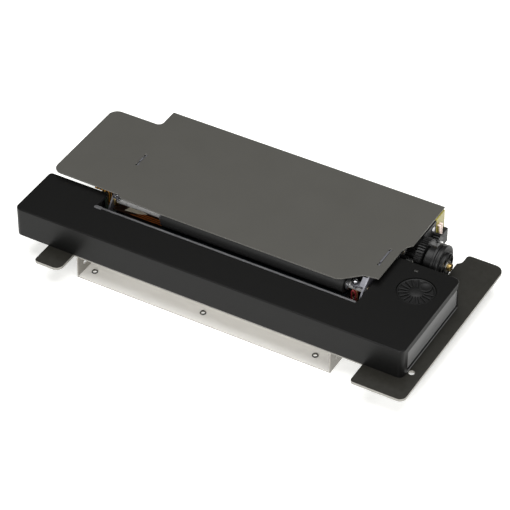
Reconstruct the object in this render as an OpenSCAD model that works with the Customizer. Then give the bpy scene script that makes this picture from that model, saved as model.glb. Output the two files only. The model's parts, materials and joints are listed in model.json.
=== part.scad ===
// Wide open-frame bill validator with a long-edge note slot.
// Drawing datum: front left lower corner of the bezel, X along the bezel,
// Y to the rear, Z up. in_place() then centres the object over the middle
// of its base.

/* [Bezel] */
// Length of the moulded bezel from end to end
bezel_length = 301.2; // [260:0.1:370]
// Height of the bezel above the mounting flange
bezel_height = 22.8; // [22.5:0.1:30]
// Depth of the straight bar in front of the note slot
bar_depth = 28.5; // [27:0.5:32]
// Length of the left ear along the bezel
left_ear_length = 48.2; // [46:0.1:56]
// Depth of the left ear
left_ear_depth = 45.8; // [42:0.1:45.8]
// Length of the right ear, which houses the gears and the dial
right_ear_length = 50; // [50:0.5:60]
// Wall of the moulding
bezel_wall = 2.5; // [1.8:0.1:3]
// Roof of the moulding over the gears
bezel_roof = 2; // [1.4:0.1:2.2]
// Radius of the moulding's outer corners
bezel_corner_r = 3; // [2:0.5:6]

/* [Sheet metal] */
// Thickness of the mounting flange
flange_sheet = 2; // [1.5:0.1:3]
// Thickness of the side frames
frame_sheet = 1.2; // [0.8:0.1:1.6]
// Thickness of the top plate
plate_sheet = 1; // [0.8:0.1:1.4]
// Thickness of the bright channel and tray
tray_sheet = 0.8; // [0.6:0.1:1.2]
// Height of the top plate above the bezel
plate_rise = 5; // [5:0.1:8]
// Distance of the top plate's rear edge from the front of the bezel
plate_depth = 142.2; // [142:0.1:175]
// Height of the channel and tray that hang below the flange
tray_height = 16.8; // [14:0.1:22]
// Depth of the open channel under the bezel
channel_depth = 24; // [20:0.5:26]
// Diameter of the flange's fixing holes
fixing_hole_d = 4.3; // [3.4:0.1:5.3]

/* [Rollers] */
// Diameter of the rubber rollers
roller_d = 13.8; // [11:0.1:14.6]
// Length of the front roller's rubber
front_roller_length = 142.6; // [100:0.1:150]
// Diameter of the roller shafts
shaft_d = 5; // [4.5:0.1:7.2]
// Distance of the front roller's axis behind the front of the bezel
roller_y = 50.6; // [49:0.1:52]
// Height of the front roller's axis above the flange
roller_z = 15.8; // [15:0.1:16.4]
// Diameter of the sprung pinch rollers
pinch_roller_d = 10; // [8:0.1:11]

/* [Gears] */
// Module of every gear
gear_module = 0.7; // [0.58:0.01:0.7]
// Face width of the single gears
gear_width = 5; // [4:0.1:5.4]
// Diameter of the finger dial
dial_d = 26.6; // [24:0.1:30]

/* [Fits] */
// Radial clearance of a shaft in its bush or a gear on its post
running_clearance = 0.05; // [0.03:0.01:0.08]
// Gap between pieces that pass each other without touching
free_gap = 0.3; // [0.25:0.05:0.5]

/* [Hidden] */
$fn = 64;

// Stations along X
bar_back = bar_depth;
right_ear_x = bezel_length - right_ear_length;
left_frame_x = left_ear_length + 2.7;
right_frame_x = right_ear_x - 1.8 - frame_sheet;
track_left = left_frame_x + frame_sheet;
track_right = right_frame_x;
track_middle = (track_left + track_right) / 2;
right_ear_depth = 84.5;

// Cover screws beside the roller
left_screw_x = track_left + 2.5;
right_screw_x = track_right - 7;

// Levels
flange_bottom = -flange_sheet;
tray_bottom = flange_bottom - tray_height;
plate_top = bezel_height + plate_rise;
plate_bottom = plate_top - plate_sheet;

// Gear train: teeth, pitch radii and axes as [y, z]
front_teeth = 14;
dial_idler_teeth = 16;
idler_teeth = 25;
rear_small_teeth = 14;
rear_large_teeth = 40;
pinion_teeth = 14;
dial_teeth = 34;
function pitch_r(teeth) = gear_module * teeth / 2;
function step(from, angle, length) =
    [from[0] + length * cos(angle), from[1] + length * sin(angle)];
front_axis = [roller_y, roller_z];
front_to_dial_idler = -37;
dial_idler_axis = step(front_axis, front_to_dial_idler,
    pitch_r(front_teeth) + pitch_r(dial_idler_teeth));
dial_idler_to_idler = 5;
front_idler_axis = step(dial_idler_axis, dial_idler_to_idler,
    pitch_r(dial_idler_teeth) + pitch_r(idler_teeth));
idler_to_idler = -8;
rear_idler_axis = step(front_idler_axis, idler_to_idler,
    2 * pitch_r(idler_teeth));
idler_to_rear = 13.4;
rear_axis = step(rear_idler_axis, idler_to_rear,
    pitch_r(idler_teeth) + pitch_r(rear_small_teeth));
rear_to_pinion = 6;
motor_axis = step(rear_axis, rear_to_pinion,
    pitch_r(rear_large_teeth) + pitch_r(pinion_teeth));

// A tooth's angle that meshes with a neighbour whose tooth stands at phase
function meshed(phase, teeth, next_teeth, direction) =
    direction + 180 - 180 / next_teeth
    + teeth / next_teeth * (direction - phase);
front_phase = 0;
dial_idler_phase = meshed(front_phase, front_teeth, dial_idler_teeth,
    front_to_dial_idler);
front_idler_phase = meshed(dial_idler_phase, dial_idler_teeth,
    idler_teeth, dial_idler_to_idler);
rear_idler_phase = meshed(front_idler_phase, idler_teeth, idler_teeth,
    idler_to_idler);
rear_small_phase = meshed(rear_idler_phase, idler_teeth,
    rear_small_teeth, idler_to_rear);
rear_large_phase = 0;
pinion_phase = meshed(rear_large_phase, rear_large_teeth, pinion_teeth,
    rear_to_pinion);
dial_phase = 180 + 180 / dial_teeth
    - dial_idler_teeth / dial_teeth * (90 - dial_idler_phase);

// Gear stations along X, from the right side frame outwards
train_x = right_ear_x + 0.4;
train_end = train_x + gear_width;
large_gear_x = train_end + 5.1;
large_gear_end = large_gear_x + gear_width;
drum_x = large_gear_end + 0.8;
rim_x = drum_x + 6.2;
rim_r = 14.2;
drum_end = drum_x + 11.7;
drum_lip_end = drum_end + 2.4;
washer_end = drum_lip_end + 0.8;
screw_end = washer_end + 2.4;

// Dial: centred over the end of the wide idler
dial_r = dial_d / 2;
crown_r = gear_module * dial_teeth / 2;
crown_face = 2;
dial_idler_end = train_x + 19;
dial_centre = [dial_idler_end - 2 + crown_r, dial_idler_axis[0]];
crown_pitch_z = dial_idler_axis[1] + pitch_r(dial_idler_teeth);
dial_top = bezel_height - 0.2;
dial_post_r = 2.5;
dial_post_top = dial_top - 2;

// Rollers and the note path
roller_r = roller_d / 2;
shaft_r = shaft_d / 2;
bush_r = shaft_r + 1.5;
front_roller_x = track_left + 38.5;
glass_top = roller_z - roller_r - free_gap - 0.1;
path_z = rear_axis[1] - roller_r;
rear_roller_length = 24;
rear_roller_gap = 78;
pinch_r = pinch_roller_d / 2;
pinch_axis = [rear_axis[0], path_z - free_gap - pinch_r];
pinch_shaft_r = 1.5;
pivot_axis = [pinch_axis[0] + 13, pinch_axis[1] - 2.5];
pivot_r = 1.5;
pinch_half_span = rear_roller_gap / 2 + rear_roller_length + 3;

// Motor
motor_face_x = large_gear_x - 0.9;
motor_sheet = 1.2;
motor_depth = 27.6;
motor_length = 22.6;
motor_front_y = plate_depth - motor_depth - 1.7;
motor_top = plate_bottom - 0.5;
motor_split = motor_top * 0.46;
connector_right = motor_face_x + 3;
connector_top = motor_split - 0.4;
connector_front = motor_axis[0] + pitch_r(pinion_teeth) + gear_module
    + free_gap;
tape_front_y = motor_front_y + 15.2;
motor_screw_offset = 8.6;
motor_screw_r = 1.25;

// Depth stations
frame_front_y = bar_back + 6.5;
foot_width = 6;
frame_rear_y = motor_front_y - 1.6;
tray_rear_y = rear_axis[0] + 21;
flange_rear_y = plate_depth - 8.1;

// Outermost faces, which place the drawing datum on the base's centre
fixing_hole = [bezel_length + 2.6, 8.8];
rear_fixing_hole = [left_frame_x - 16.7, flange_rear_y - 12];
flange_right = fixing_hole[0] + 7.6;
flange_front = -18.2;
in_place_shift = [
    -flange_right / 2,
    -(flange_front + plate_depth) / 2,
    -tray_bottom
];

module in_place() {
    translate(in_place_shift) children();
}

// Extrudes a section drawn in [y, z] from one X station to another
module across(from_x, to_x) {
    translate([from_x, 0, 0]) rotate([90, 0, 90])
        linear_extrude(to_x - from_x) children();
}

// A round bar along X
module bar(axis, r, from_x, to_x) {
    translate([from_x, axis[0], axis[1]]) rotate([0, 90, 0])
        cylinder(r = r, h = to_x - from_x);
}

// A box from its lowest to its highest corner
module block(low, high) {
    translate(low) cube(high - low);
}

// A rectangle with true arcs at its corners
module round_rect(low, high, r) {
    translate([low[0] + r, low[1]])
        square([high[0] - low[0] - 2 * r, high[1] - low[1]]);
    translate([low[0], low[1] + r])
        square([high[0] - low[0], high[1] - low[1] - 2 * r]);
    for (x = [low[0] + r, high[0] - r], y = [low[1] + r, high[1] - r])
        translate([x, y]) circle(r = r);
}

// One gear tooth's outline, as fractions of the tooth pitch
module gear_outline(teeth, phase) {
    r = pitch_r(teeth);
    pitch = 360 / teeth;
    flank = [
        [r - 1.2 * gear_module, -0.29], [r, -0.21],
        [r + 0.85 * gear_module, -0.11], [r + 0.85 * gear_module, 0.11],
        [r, 0.21], [r - 1.2 * gear_module, 0.29]
    ];
    polygon([for (tooth = [0 : teeth - 1], point = flank)
        let (angle = phase + (tooth + point[1]) * pitch)
        [point[0] * cos(angle), point[0] * sin(angle)]]);
}

module gear(axis, teeth, phase, from_x, to_x, bore) {
    difference() {
        across(from_x, to_x) translate(axis) gear_outline(teeth, phase);
        bar(axis, bore, from_x - 1, to_x + 1);
    }
}

// A retaining clip: a thin washer open on one side
module clip(axis, r, bore, from_x, thickness) {
    difference() {
        bar(axis, r, from_x, from_x + thickness);
        bar(axis, bore, from_x - 1, from_x + thickness + 1);
        block([from_x - 1, axis[0] - bore * 0.7, axis[1] - r - 1],
            [from_x + thickness + 1, axis[0] + bore * 0.7, axis[1]]);
    }
}

// ---- Housings and structure ----

// Flange outline: front ears, notch beside the gear train, round corners
module flange_outline() {
    ear_r = 5;
    ear_inner_r = 2.5;
    left_ear = [left_frame_x - 24.1, left_frame_x - 3.7];
    right_ear = bezel_length - 29.1;
    gear_cut = drum_end + 1.2;
    notch_y = flange_rear_y - 12.1;
    notch_x = drum_end + 4;
    difference() {
        union() {
            // front ears, sharper on the side that faces left
            round_rect([left_ear[0], flange_front],
                [left_ear[1], 60], ear_r);
            round_rect([left_ear[0], flange_front],
                [left_ear[1] - ear_r, 60], ear_inner_r);
            round_rect([right_ear, flange_front],
                [flange_right, 60], ear_r);
            round_rect([right_ear, flange_front],
                [flange_right - ear_r, 60], ear_inner_r);
            // body of the plate
            translate([left_ear[0], 1])
                square([flange_right - left_ear[0], 58]);
            round_rect([left_ear[0], 20], [right_frame_x + frame_sheet,
                flange_rear_y], ear_r);
            translate([left_ear[0], 20]) square([60, 30]);
            round_rect([gear_cut - 20, 20],
                [flange_right, flange_rear_y], 7);
        }
        // clearance for the large gear and the drum, open to the rear
        translate([right_frame_x + frame_sheet, right_ear_depth + 0.5])
            square([gear_cut - right_frame_x - frame_sheet, 60]);
        // rounded notch behind the clutch drum
        translate([gear_cut - 1, notch_y + 5])
            square([notch_x - gear_cut + 1, 30]);
        translate([notch_x - 5, notch_y + 5]) circle(r = 5);
        // its rear corner, rounded the other way
        translate([notch_x - 0.01, flange_rear_y - 2.6]) difference() {
            square([2.61, 3]);
            translate([2.61, 0]) circle(r = 2.6);
        }
        // window under the sensor and the transport
        round_rect([track_left + foot_width + 0.5, frame_front_y],
            [track_right - foot_width - 0.5, pivot_axis[0] + 5], 3);
        translate(fixing_hole) circle(d = fixing_hole_d);
        translate(rear_fixing_hole) circle(d = fixing_hole_d);
    }
}

module mounting_flange() {
    color("#23231f") in_place()
        translate([0, 0, flange_bottom])
            linear_extrude(flange_sheet) flange_outline();
}

// Plan of the bezel, grown inwards by a margin
module bezel_plan(margin, r) {
    round_rect([margin, margin],
        [bezel_length - margin, bar_back - margin], r);
    round_rect([margin, margin],
        [left_ear_length - margin, left_ear_depth - margin], r);
    round_rect([right_ear_x + margin, margin],
        [bezel_length - margin, right_ear_depth - margin], r);
}

module bezel() {
    panel_low = 3;
    panel_high = bezel_height - 5.4;
    color("#1c1c1b") in_place() difference() {
        union() {
            linear_extrude(bezel_height - 1)
                bezel_plan(0, bezel_corner_r);
            translate([0, 0, bezel_height - 1])
                linear_extrude(1) bezel_plan(0.8, bezel_corner_r);
        }
        // hollow from below
        translate([0, 0, -1]) linear_extrude(bezel_height - bezel_roof + 1)
            bezel_plan(bezel_wall, bezel_corner_r - 1.5);
        // relief in the roof over the front gear
        bar(front_axis, pitch_r(front_teeth) + gear_module + free_gap,
            train_x - free_gap, train_end + 1.2);
        // dial and indicator windows
        translate([dial_centre[0], dial_centre[1], 0])
            cylinder(r = dial_r + free_gap, h = bezel_height + 1);
        translate([dial_centre[0] - 9.4, dial_centre[1] + 18.6, 0])
            cylinder(r = 1.5, h = bezel_height + 1);
        // recess of the end panel
        block([bezel_length - 1.3, 7.4, panel_low - 0.3],
            [bezel_length + 1, right_ear_depth - 4.7, panel_high + 0.3]);
        // gear train and roller shaft leave the right ear on its inner
        // side, and the train runs on through its rear wall
        block([right_ear_x - 1, bar_back + 1, -1],
            [right_ear_x + bezel_wall + 1, right_ear_depth - 8,
            bezel_height - bezel_roof]);
        block([right_ear_x - 1, right_ear_depth - 9, -1],
            [train_end + 1.2, right_ear_depth + 1,
            bezel_height - bezel_roof]);
        // ribbon and shaft end at the left ear
        block([left_ear_length - bezel_wall - 1, bar_back + 8, -1],
            [left_ear_length + 1, left_ear_depth + 1,
            bezel_height - bezel_roof]);
    }
}

module bezel_end_panel() {
    color("#616161") in_place()
        across(bezel_length - 1.2, bezel_length - 0.3)
            round_rect([7.7, 3], [right_ear_depth - 5,
                bezel_height - 5.4], 1.2);
}

module indicator_lens() {
    color("#4a4a44") in_place() {
        translate([dial_centre[0] - 9.4, dial_centre[1] + 18.6,
            bezel_height - bezel_roof - 0.6])
            cylinder(r = 1.35, h = bezel_roof + 0.5);
        translate([dial_centre[0] - 9.4, dial_centre[1] + 18.6,
            bezel_height - bezel_roof - 1.4])
            cylinder(r = 2.4, h = 1.2);
    }
}

module indicator_board() {
    board_z = bezel_height - bezel_roof - 4.2;
    color("#1f5a34") in_place() {
        block([dial_centre[0] - 12, dial_centre[1] + 16.2, board_z],
            [dial_centre[0] - 2, right_ear_depth - bezel_wall, board_z + 1]);
        translate([dial_centre[0] - 9.4, dial_centre[1] + 18.6, board_z + 1])
            cylinder(r = 1.2, h = 1.5);
    }
}

// Outline of the flat top plate
module plate_outline() {
    tab_front = 43.2;
    lip_front = 39;
    left = 3.2;
    tab_right = left_ear_length - 5.5;
    step_r = 4;
    tab_rear = plate_depth - 17.8;
    right_front = right_frame_x + 7.4;
    right_rear = right_frame_x + 11.8;
    corner = 7;
    difference() {
        union() {
            round_rect([left, tab_front], [tab_right + 20, tab_rear],
                corner);
            polygon([
                [left_frame_x - 12.7, tab_front],
                [left_frame_x - 4.2, tab_front + 3],
                [left_frame_x - 0.3, tab_front + 3.3],
                [left_frame_x + 0.6, tab_front + 5.8],
                [left_frame_x + 4.4, tab_front + 2.2],
                [left_frame_x + 9.7, tab_front - 2.4],
                [left_frame_x + 12.7, lip_front + 1.2],
                [left_frame_x + 40, lip_front],
                [right_frame_x - 18, lip_front],
                [right_frame_x - 14.2, lip_front + 1.8],
                [right_frame_x - 7.2, lip_front + 8.2],
                [right_frame_x - 2.9, lip_front + 12.2],
                [right_frame_x + 0.7, lip_front + 12.7],
                [right_front, lip_front + 13.7],
                [right_front, rear_axis[0] - 17.5],
                [right_front + 1.6, rear_axis[0] - 12.5],
                [right_rear, rear_axis[0] - 9],
                [right_rear, plate_depth],
                [tab_right, plate_depth],
                [tab_right, tab_rear - 1]
            ]);
            // fillet of the step in the rear edge
            translate([tab_right - step_r, tab_rear - 0.01]) difference() {
                square(step_r + 0.01);
                translate([0, step_r + 0.01]) circle(r = step_r);
            }
        }
        // tab slots over the side frames
        for (x = [left_frame_x, right_frame_x]) {
            near = x == left_frame_x ? 78 : 66;
            far = x == left_frame_x ? 90 : 83;
            middle = x + frame_sheet / 2;
            translate([middle - frame_sheet / 2 - 0.2, near])
                square([frame_sheet + 0.4, far - near]);
            for (y = [near, far]) translate([middle, y]) circle(r = 1.3);
        }
    }
}

module top_plate() {
    color("#57564f") in_place() translate([0, 0, plate_bottom])
        linear_extrude(plate_sheet) plate_outline();
}

// Side frame in [y, z]: sloping front shoulder, tab through the plate
module frame_section(front_y, tab_near, tab_far) {
    top = plate_bottom - 0.1;
    shoulder_z = top - 5.6;
    difference() {
        union() {
            polygon([
                [front_y, 0], [front_y, 11],
                [front_y + 7.8, shoulder_z], [front_y + 15.4, top],
                [frame_rear_y, top], [frame_rear_y, 0]
            ]);
            translate([tab_near, top - 1])
                square([tab_far - tab_near, plate_sheet + 1.3]);
        }
        translate(front_axis) circle(r = bush_r);
        translate(rear_axis) circle(r = bush_r);
    }
}

// Stiffening lip folded along the frame's sloping shoulder
module shoulder_lip(from_x, to_x) {
    top = plate_bottom - 0.1;
    low_y = frame_front_y + 9.8;
    high_y = frame_front_y + 15.4;
    drop = 4.1;
    across(from_x, to_x) polygon([
        [low_y, top - drop], [low_y + 0.7, top - drop - 0.9],
        [high_y + 0.7, top - 0.9], [high_y, top]
    ]);
}

// Horizontal ear that carries a cover screw
ear_top = plate_bottom - 4.8;
cover_screw_y = roller_y - 3.6;
cover_screw_r = 1.5;
module screw_ear(from_x, to_x, screw_x) {
    difference() {
        block([from_x, cover_screw_y - 2.4, ear_top - frame_sheet],
            [to_x, cover_screw_y + 2.4, ear_top]);
        translate([screw_x, cover_screw_y, ear_top - frame_sheet - 1])
            cylinder(r = cover_screw_r, h = frame_sheet + 2);
    }
}

module left_side_frame() {
    color("#c9c9c6") in_place() {
        difference() {
            across(left_frame_x, track_left)
                frame_section(frame_front_y + 2.5, 81.8, 86.2);
            // window for the ribbon, below the bush
            block([left_frame_x - 1, roller_y - 6, glass_top - 2.2],
                [track_left + 1, roller_y + 6, roller_z - bush_r - 0.2]);
        }
        block([track_left, frame_front_y + 20, 0],
            [track_left + foot_width, frame_rear_y, frame_sheet]);
        screw_ear(track_left, track_left + 5, left_screw_x);
    }
}

module right_side_frame() {
    color("#c9c9c6") in_place() {
        across(right_frame_x, right_frame_x + frame_sheet)
            frame_section(frame_front_y, 68.2, 80.8);
        block([track_right - foot_width, frame_front_y + 20, 0],
            [track_right, frame_rear_y, frame_sheet]);
        shoulder_lip(track_right - 3, track_right);
        screw_ear(track_right - 9.4, track_right, right_screw_x);
    }
}

// Front guide of the note slot: upright strip with a curved foot
module guide_strip() {
    foot_z = glass_top - 0.9;
    strip_left = left_frame_x + 0.6;
    strip_sheet = 1.5;
    color("#8b8b86") in_place() {
        across(strip_left, right_ear_x - 0.2)
            translate([bar_back, 12])
                square([strip_sheet, bezel_height - 12 + 0.2]);
        // tongue folded over the bezel's edge at the left end
        block([strip_left - 2.8, bar_back - 1.4, bezel_height],
            [strip_left + 2, bar_back + strip_sheet, bezel_height + 0.6]);
        translate([strip_left - 2.8, bar_back + 0.05, bezel_height])
            cylinder(r = 1.45, h = 0.6);
        across(track_left + 0.2, track_right - 0.2) polygon([
            [bar_back, 12.5], [bar_back + 1.5, 12.5],
            [bar_back + 2.6, 11.1], [frame_front_y + 2, foot_z + 0.8],
            [roller_y - 8, foot_z],
            [roller_y - 8, foot_z - 1], [frame_front_y + 1, foot_z - 0.4],
            [bar_back + 1.4, 10.4], [bar_back, 11.6]
        ]);
    }
}

// Open-fronted channel under the bezel, with end plates and three holes
channel_left = left_frame_x - 1.2;
channel_right = right_frame_x + 0.1;
channel_hole_x = [for (i = [-1 : 1])
    (channel_left + channel_right) / 2 - 4.2 + i * (channel_right
    - channel_left - 24.6) / 2];
channel_hole_r = 1.6;
module lower_channel() {
    bend = 4;
    lip_front = 7;
    hole_y = 9.7;
    low = tray_bottom;
    high = flange_bottom;
    t = tray_sheet;
    color("#d6d3cc") in_place() {
        difference() {
            across(channel_left, channel_right) {
                    translate([0, low]) square([channel_depth - bend, t]);
                    translate([channel_depth - t, low + bend])
                        square([t, high - low - bend]);
                    translate([lip_front, high - t])
                        square([channel_depth - lip_front, t]);
                    intersection() {
                        translate([channel_depth - bend, low + bend])
                            difference() {
                                circle(r = bend);
                                circle(r = bend - t);
                            }
                        translate([channel_depth - bend, low])
                            square([bend, bend]);
                    }
            }
            for (x = channel_hole_x) translate([x, hole_y, low - 1])
                cylinder(r = channel_hole_r, h = t + 2);
        }
        for (x = [channel_left, channel_right - t])
            difference() {
                block([x, 0, low], [x + t, channel_depth, high]);
                across(x - 1, x + t + 1)
                    round_rect([7, low + 6], [13, low + 9], 1.4);
            }
    }
}

// Folded tray that holds the main board behind the channel
module base_tray() {
    front = channel_depth;
    t = tray_sheet;
    high = flange_bottom;
    color("#cfccc4") in_place() difference() {
        union() {
            difference() {
                block([channel_left, front, tray_bottom],
                    [channel_right, tray_rear_y, high]);
                block([channel_left + t, front + t, tray_bottom + t],
                    [channel_right - t, tray_rear_y - t, high + 1]);
            }
            // fixing lips under the flange
            block([channel_left - 8, front + 8, high - t],
                [channel_left + t, tray_rear_y - 6, high]);
            block([channel_right - t, front + 8, high - t],
                [channel_right + 9, right_ear_depth - 4, high]);
        }
        // connector window in the rear wall and cooling slots in the floor
        block([track_left + 13, tray_rear_y - t - 1, tray_bottom + 3.4],
            [track_left + 29, tray_rear_y + 1, high - 2.2]);
        for (i = [0 : 5]) block(
            [track_middle - 42 + i * 15, 60, tray_bottom - 1],
            [track_middle - 39 + i * 15, 92, tray_bottom + t + 1]);
    }
}

// Lower note guide from the sensor to just before the pinch rollers
guide_flat_z = path_z - 0.6;
guide_sheet = 1.2;
guide_end_y = pinch_axis[0] - pinch_r - 0.8;
module floor_guide() {
    start_y = roller_y + 8.6;
    start_z = glass_top - 0.9;
    slope_end_y = rear_axis[0] - 14;
    color("#2b2b2b") in_place()
        across(track_left + 0.2, track_right - 0.2) polygon([
            [start_y, start_z], [slope_end_y, guide_flat_z],
            [guide_end_y, guide_flat_z],
            [guide_end_y, guide_flat_z - guide_sheet],
            [slope_end_y, guide_flat_z - guide_sheet],
            [start_y, start_z - 1.4]
        ]);
}

// Fingers that carry the note on from the floor guide, past the rollers
module exit_guide() {
    inner = rear_roller_gap / 2 - 1;
    outer = rear_roller_gap / 2 + rear_roller_length + 1;
    color("#2b2b2b") in_place()
        for (finger = [
                [track_left + 0.2, track_middle - outer],
                [track_middle - inner, track_middle + inner],
                [track_middle + outer, track_right - 0.2]])
            block([finger[0], guide_end_y, guide_flat_z - guide_sheet],
                [finger[1], frame_rear_y - 0.4, guide_flat_z]);
}

module upper_guide() {
    start_y = roller_y + roller_r + 1.6;
    end_y = rear_axis[0] - roller_r - 1.4;
    color("#262626") in_place() {
        across(track_left + 0.2, track_right - 0.2) polygon([
            [start_y, 13], [start_y + 1.2, 13], [start_y + 1.4, 10.6],
            [end_y, 9.2], [end_y, 8], [start_y, 9.4]
        ]);
        // end lugs that hang the guide on the side frames
        for (x = [track_left, track_right - 3])
            block([x, start_y + 10, 8.2], [x + 3, start_y + 24, 13]);
    }
}

// ---- Electronics ----

board_z = tray_bottom + 5;
module main_board() {
    color("#1e5b3a") in_place() difference() {
        block([track_left + 6, channel_depth + 6, board_z],
            [track_right - 6, tray_rear_y - 4, board_z + 1.6]);
        for (x = [track_left + 10, track_right - 10],
            y = [channel_depth + 10, tray_rear_y - 8])
            translate([x, y, board_z - 1]) cylinder(r = 1.6, h = 4);
    }
}

module board_chips() {
    color("#202020") in_place() for (chip = [
            [-40, 44, 20, 20], [0, 46, 14, 10], [34, 50, 12, 12],
            [-10, 76, 10, 7], [52, 40, 8, 14]])
        translate([track_middle + chip[0], chip[1], board_z + 1.6])
            cube([chip[2], chip[3], 1.4]);
}

module board_connectors() {
    color("#e9e5da") in_place() {
        block([track_left + 14, tray_rear_y - 9, board_z + 1.6],
            [track_left + 28, tray_rear_y - 0.2, flange_bottom - 3]);
        block([track_right - 14, roller_y - 4.5, board_z + 1.6],
            [track_right - 6.4, roller_y + 4.5, board_z + 6.2]);
    }
}

module board_standoffs() {
    color("#b9a25a") in_place()
        for (x = [track_left + 10, track_right - 10],
            y = [channel_depth + 10, tray_rear_y - 8])
            translate([x, y, tray_bottom + tray_sheet]) difference() {
                cylinder(r = 2.6, h = board_z - tray_bottom - tray_sheet,
                    $fn = 6);
                translate([0, 0, 2]) cylinder(r = 1.4, h = 10);
            }
}

module tray_screws() {
    color("#b4b4b0") in_place()
        for (x = [track_left + 10, track_right - 10],
            y = [channel_depth + 10, tray_rear_y - 8]) {
            translate([x, y, board_z - 1]) cylinder(r = 1.4, h = 2.6);
            translate([x, y, board_z + 1.6]) cylinder(r = 2.8, h = 1.6);
        }
}

control_z = plate_bottom - 7;
control_hole_x = 10.2;
module control_board() {
    color("#1e5b3a") in_place() difference() {
        block([7.2, 72, control_z], [left_ear_length - 8, 118, control_z + 1.6]);
        for (x = [control_hole_x, left_ear_length - 11], y = [75, 115])
            translate([x, y, control_z - 1]) cylinder(r = 1.1, h = 4);
    }
}

module control_connector() {
    color("#ddd8c8") in_place() {
        block([left_ear_length - 21, 72.5, control_z + 1.6],
            [left_ear_length - 9, 77, plate_bottom - 2.4]);
        block([13.2, 112, control_z - 5], [33.2, 117.5, control_z]);
    }
}

module control_spacers() {
    color("#c8c8c4") in_place()
        for (x = [control_hole_x, left_ear_length - 11], y = [75, 115])
            if (x < 20 || y > 100) {
                translate([x, y, control_z + 1.6])
                    cylinder(r = 2, h = plate_bottom - control_z - 1.6);
                translate([x, y, control_z - 1.4]) cylinder(r = 1, h = 3);
                translate([x, y, control_z - 1.4]) cylinder(r = 1.9, h = 1.4);
            }
}

// Flat ribbon from the sensor out through the left frame, folded back
// under the top plate to the control board
module flex_ribbon() {
    t = 0.35;
    near = roller_y - 3.6;
    far = roller_y + 4.2;
    low = glass_top + 0.7;
    high = plate_bottom - 1.6;
    right_end = front_roller_x - 0.8;
    fold_x = left_frame_x - 19.7;
    color("#c07a20") in_place() {
        translate([0, near, 0]) rotate([90, 0, 0]) mirror([0, 0, 1])
            linear_extrude(far - near) polygon([
                [fold_x, high], [fold_x + 6.5, high - 3],
                [fold_x + 11, low + 3.4], [fold_x + 13.6, low],
                [right_end, low], [right_end, low - t],
                [fold_x + 13.4, low - t], [fold_x + 10.6, low + 3.2],
                [fold_x + 6.2, high - 3.3], [fold_x, high - t]
            ]);
        block([fold_x - 2, near, high - t], [fold_x, 74, high]);
        block([fold_x - 2, far, high - t], [fold_x + 6, 74, high]);
        block([fold_x - 2, near, high - t], [fold_x + 0.4, far, high]);
    }
}

// Three wires that rise from the main board, arch over and plug in beside
// the sensor's right end
wire_x = track_right - 7.6;
wire_plug_x = track_right - 10.6;
module sensor_wires() {
    r = 0.6;
    top = roller_z - shaft_r - 2;
    color("#b2282e") in_place() {
        for (i = [-1 : 1]) {
            y = roller_y + i * 1.6;
            translate([wire_x, y, board_z + 6.2])
                cylinder(r = r, h = top - board_z - 6.2, $fn = 16);
            translate([wire_plug_x, y, 4]) cylinder(r = r, h = top - 4,
                $fn = 16);
            bar([y, top], r, wire_plug_x, wire_x);
        }
        block([wire_plug_x - 1, roller_y - 3, -1],
            [wire_plug_x + 1, roller_y + 3, 4]);
    }
}

// ---- Fasteners, bushes and posts ----

module cover_screws() {
    shank = 4.2;
    color("#dedede") in_place()
        for (x = [left_screw_x, right_screw_x])
            translate([x, cover_screw_y, ear_top]) {
                cylinder(r = 2.2, h = 3);
                translate([0, 0, -shank])
                    cylinder(r = cover_screw_r, h = shank + 1);
            }
}

module shaft_bushes() {
    color("#b08d3c") in_place()
        for (axis = [front_axis, rear_axis], side = [0, 1]) {
            inner = side == 0 ? left_frame_x : right_frame_x - 0.8;
            flange_x = side == 0 ? track_left : right_frame_x - 0.8;
            difference() {
                union() {
                    bar(axis, bush_r, inner,
                        inner + frame_sheet + 0.8);
                    bar(axis, bush_r + 1, flange_x, flange_x + 0.8);
                }
                bar(axis, shaft_r + running_clearance, inner - 1,
                    inner + frame_sheet + 2);
            }
        }
}

post_r = 2;
post_foot_x = right_frame_x + frame_sheet;
module gear_post(axis, end_x) {
    bar(axis, post_r, post_foot_x, end_x);
    bar(axis, post_r + 1.4, post_foot_x, train_x - 0.3);
}

module gear_posts() {
    color("#c4c4c0") in_place() {
        gear_post(dial_idler_axis, dial_idler_end + 1.6);
        gear_post(front_idler_axis, train_end + 1.6);
        gear_post(rear_idler_axis, train_end + 1.6);
    }
}

module post_clips() {
    color("#8f8f8b") in_place() {
        clip(dial_idler_axis, 3.4, post_r, dial_idler_end + 0.3, 0.8);
        clip(front_idler_axis, 3.4, post_r, train_end + 0.3, 0.8);
        clip(rear_idler_axis, 3.4, post_r, train_end + 0.3, 0.8);
    }
}

module dial_post() {
    color("#c4c4c0") in_place()
        translate([dial_centre[0], dial_centre[1], 0]) {
            cylinder(r = dial_post_r, h = dial_post_top);
            cylinder(r = 5, h = 1.5);
        }
}

// ---- Motor ----

module motor_bracket() {
    right = motor_face_x;
    foot_x = right_frame_x + frame_sheet;
    web_y = frame_rear_y - 1.2;
    color("#232322") in_place() difference() {
        union() {
            block([foot_x, rear_axis[0] + bush_r + 0.6, 0.4],
                [foot_x + motor_sheet, web_y + motor_sheet, 22]);
            block([foot_x, web_y, 0.4],
                [right, web_y + motor_sheet, 22]);
            block([right - motor_sheet, web_y, 0.4],
                [right, tape_front_y - 0.4, plate_bottom - 1]);
        }
        bar(motor_axis, 3.2, right - motor_sheet - 1, right + 1);
        bar(rear_axis, pitch_r(rear_small_teeth) + 1.6, foot_x - 1,
            large_gear_x);
        for (side = [-1, 1])
            bar(motor_axis + [0, side * motor_screw_offset], motor_screw_r,
                right - motor_sheet - 1, right + 1);
    }
}

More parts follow.
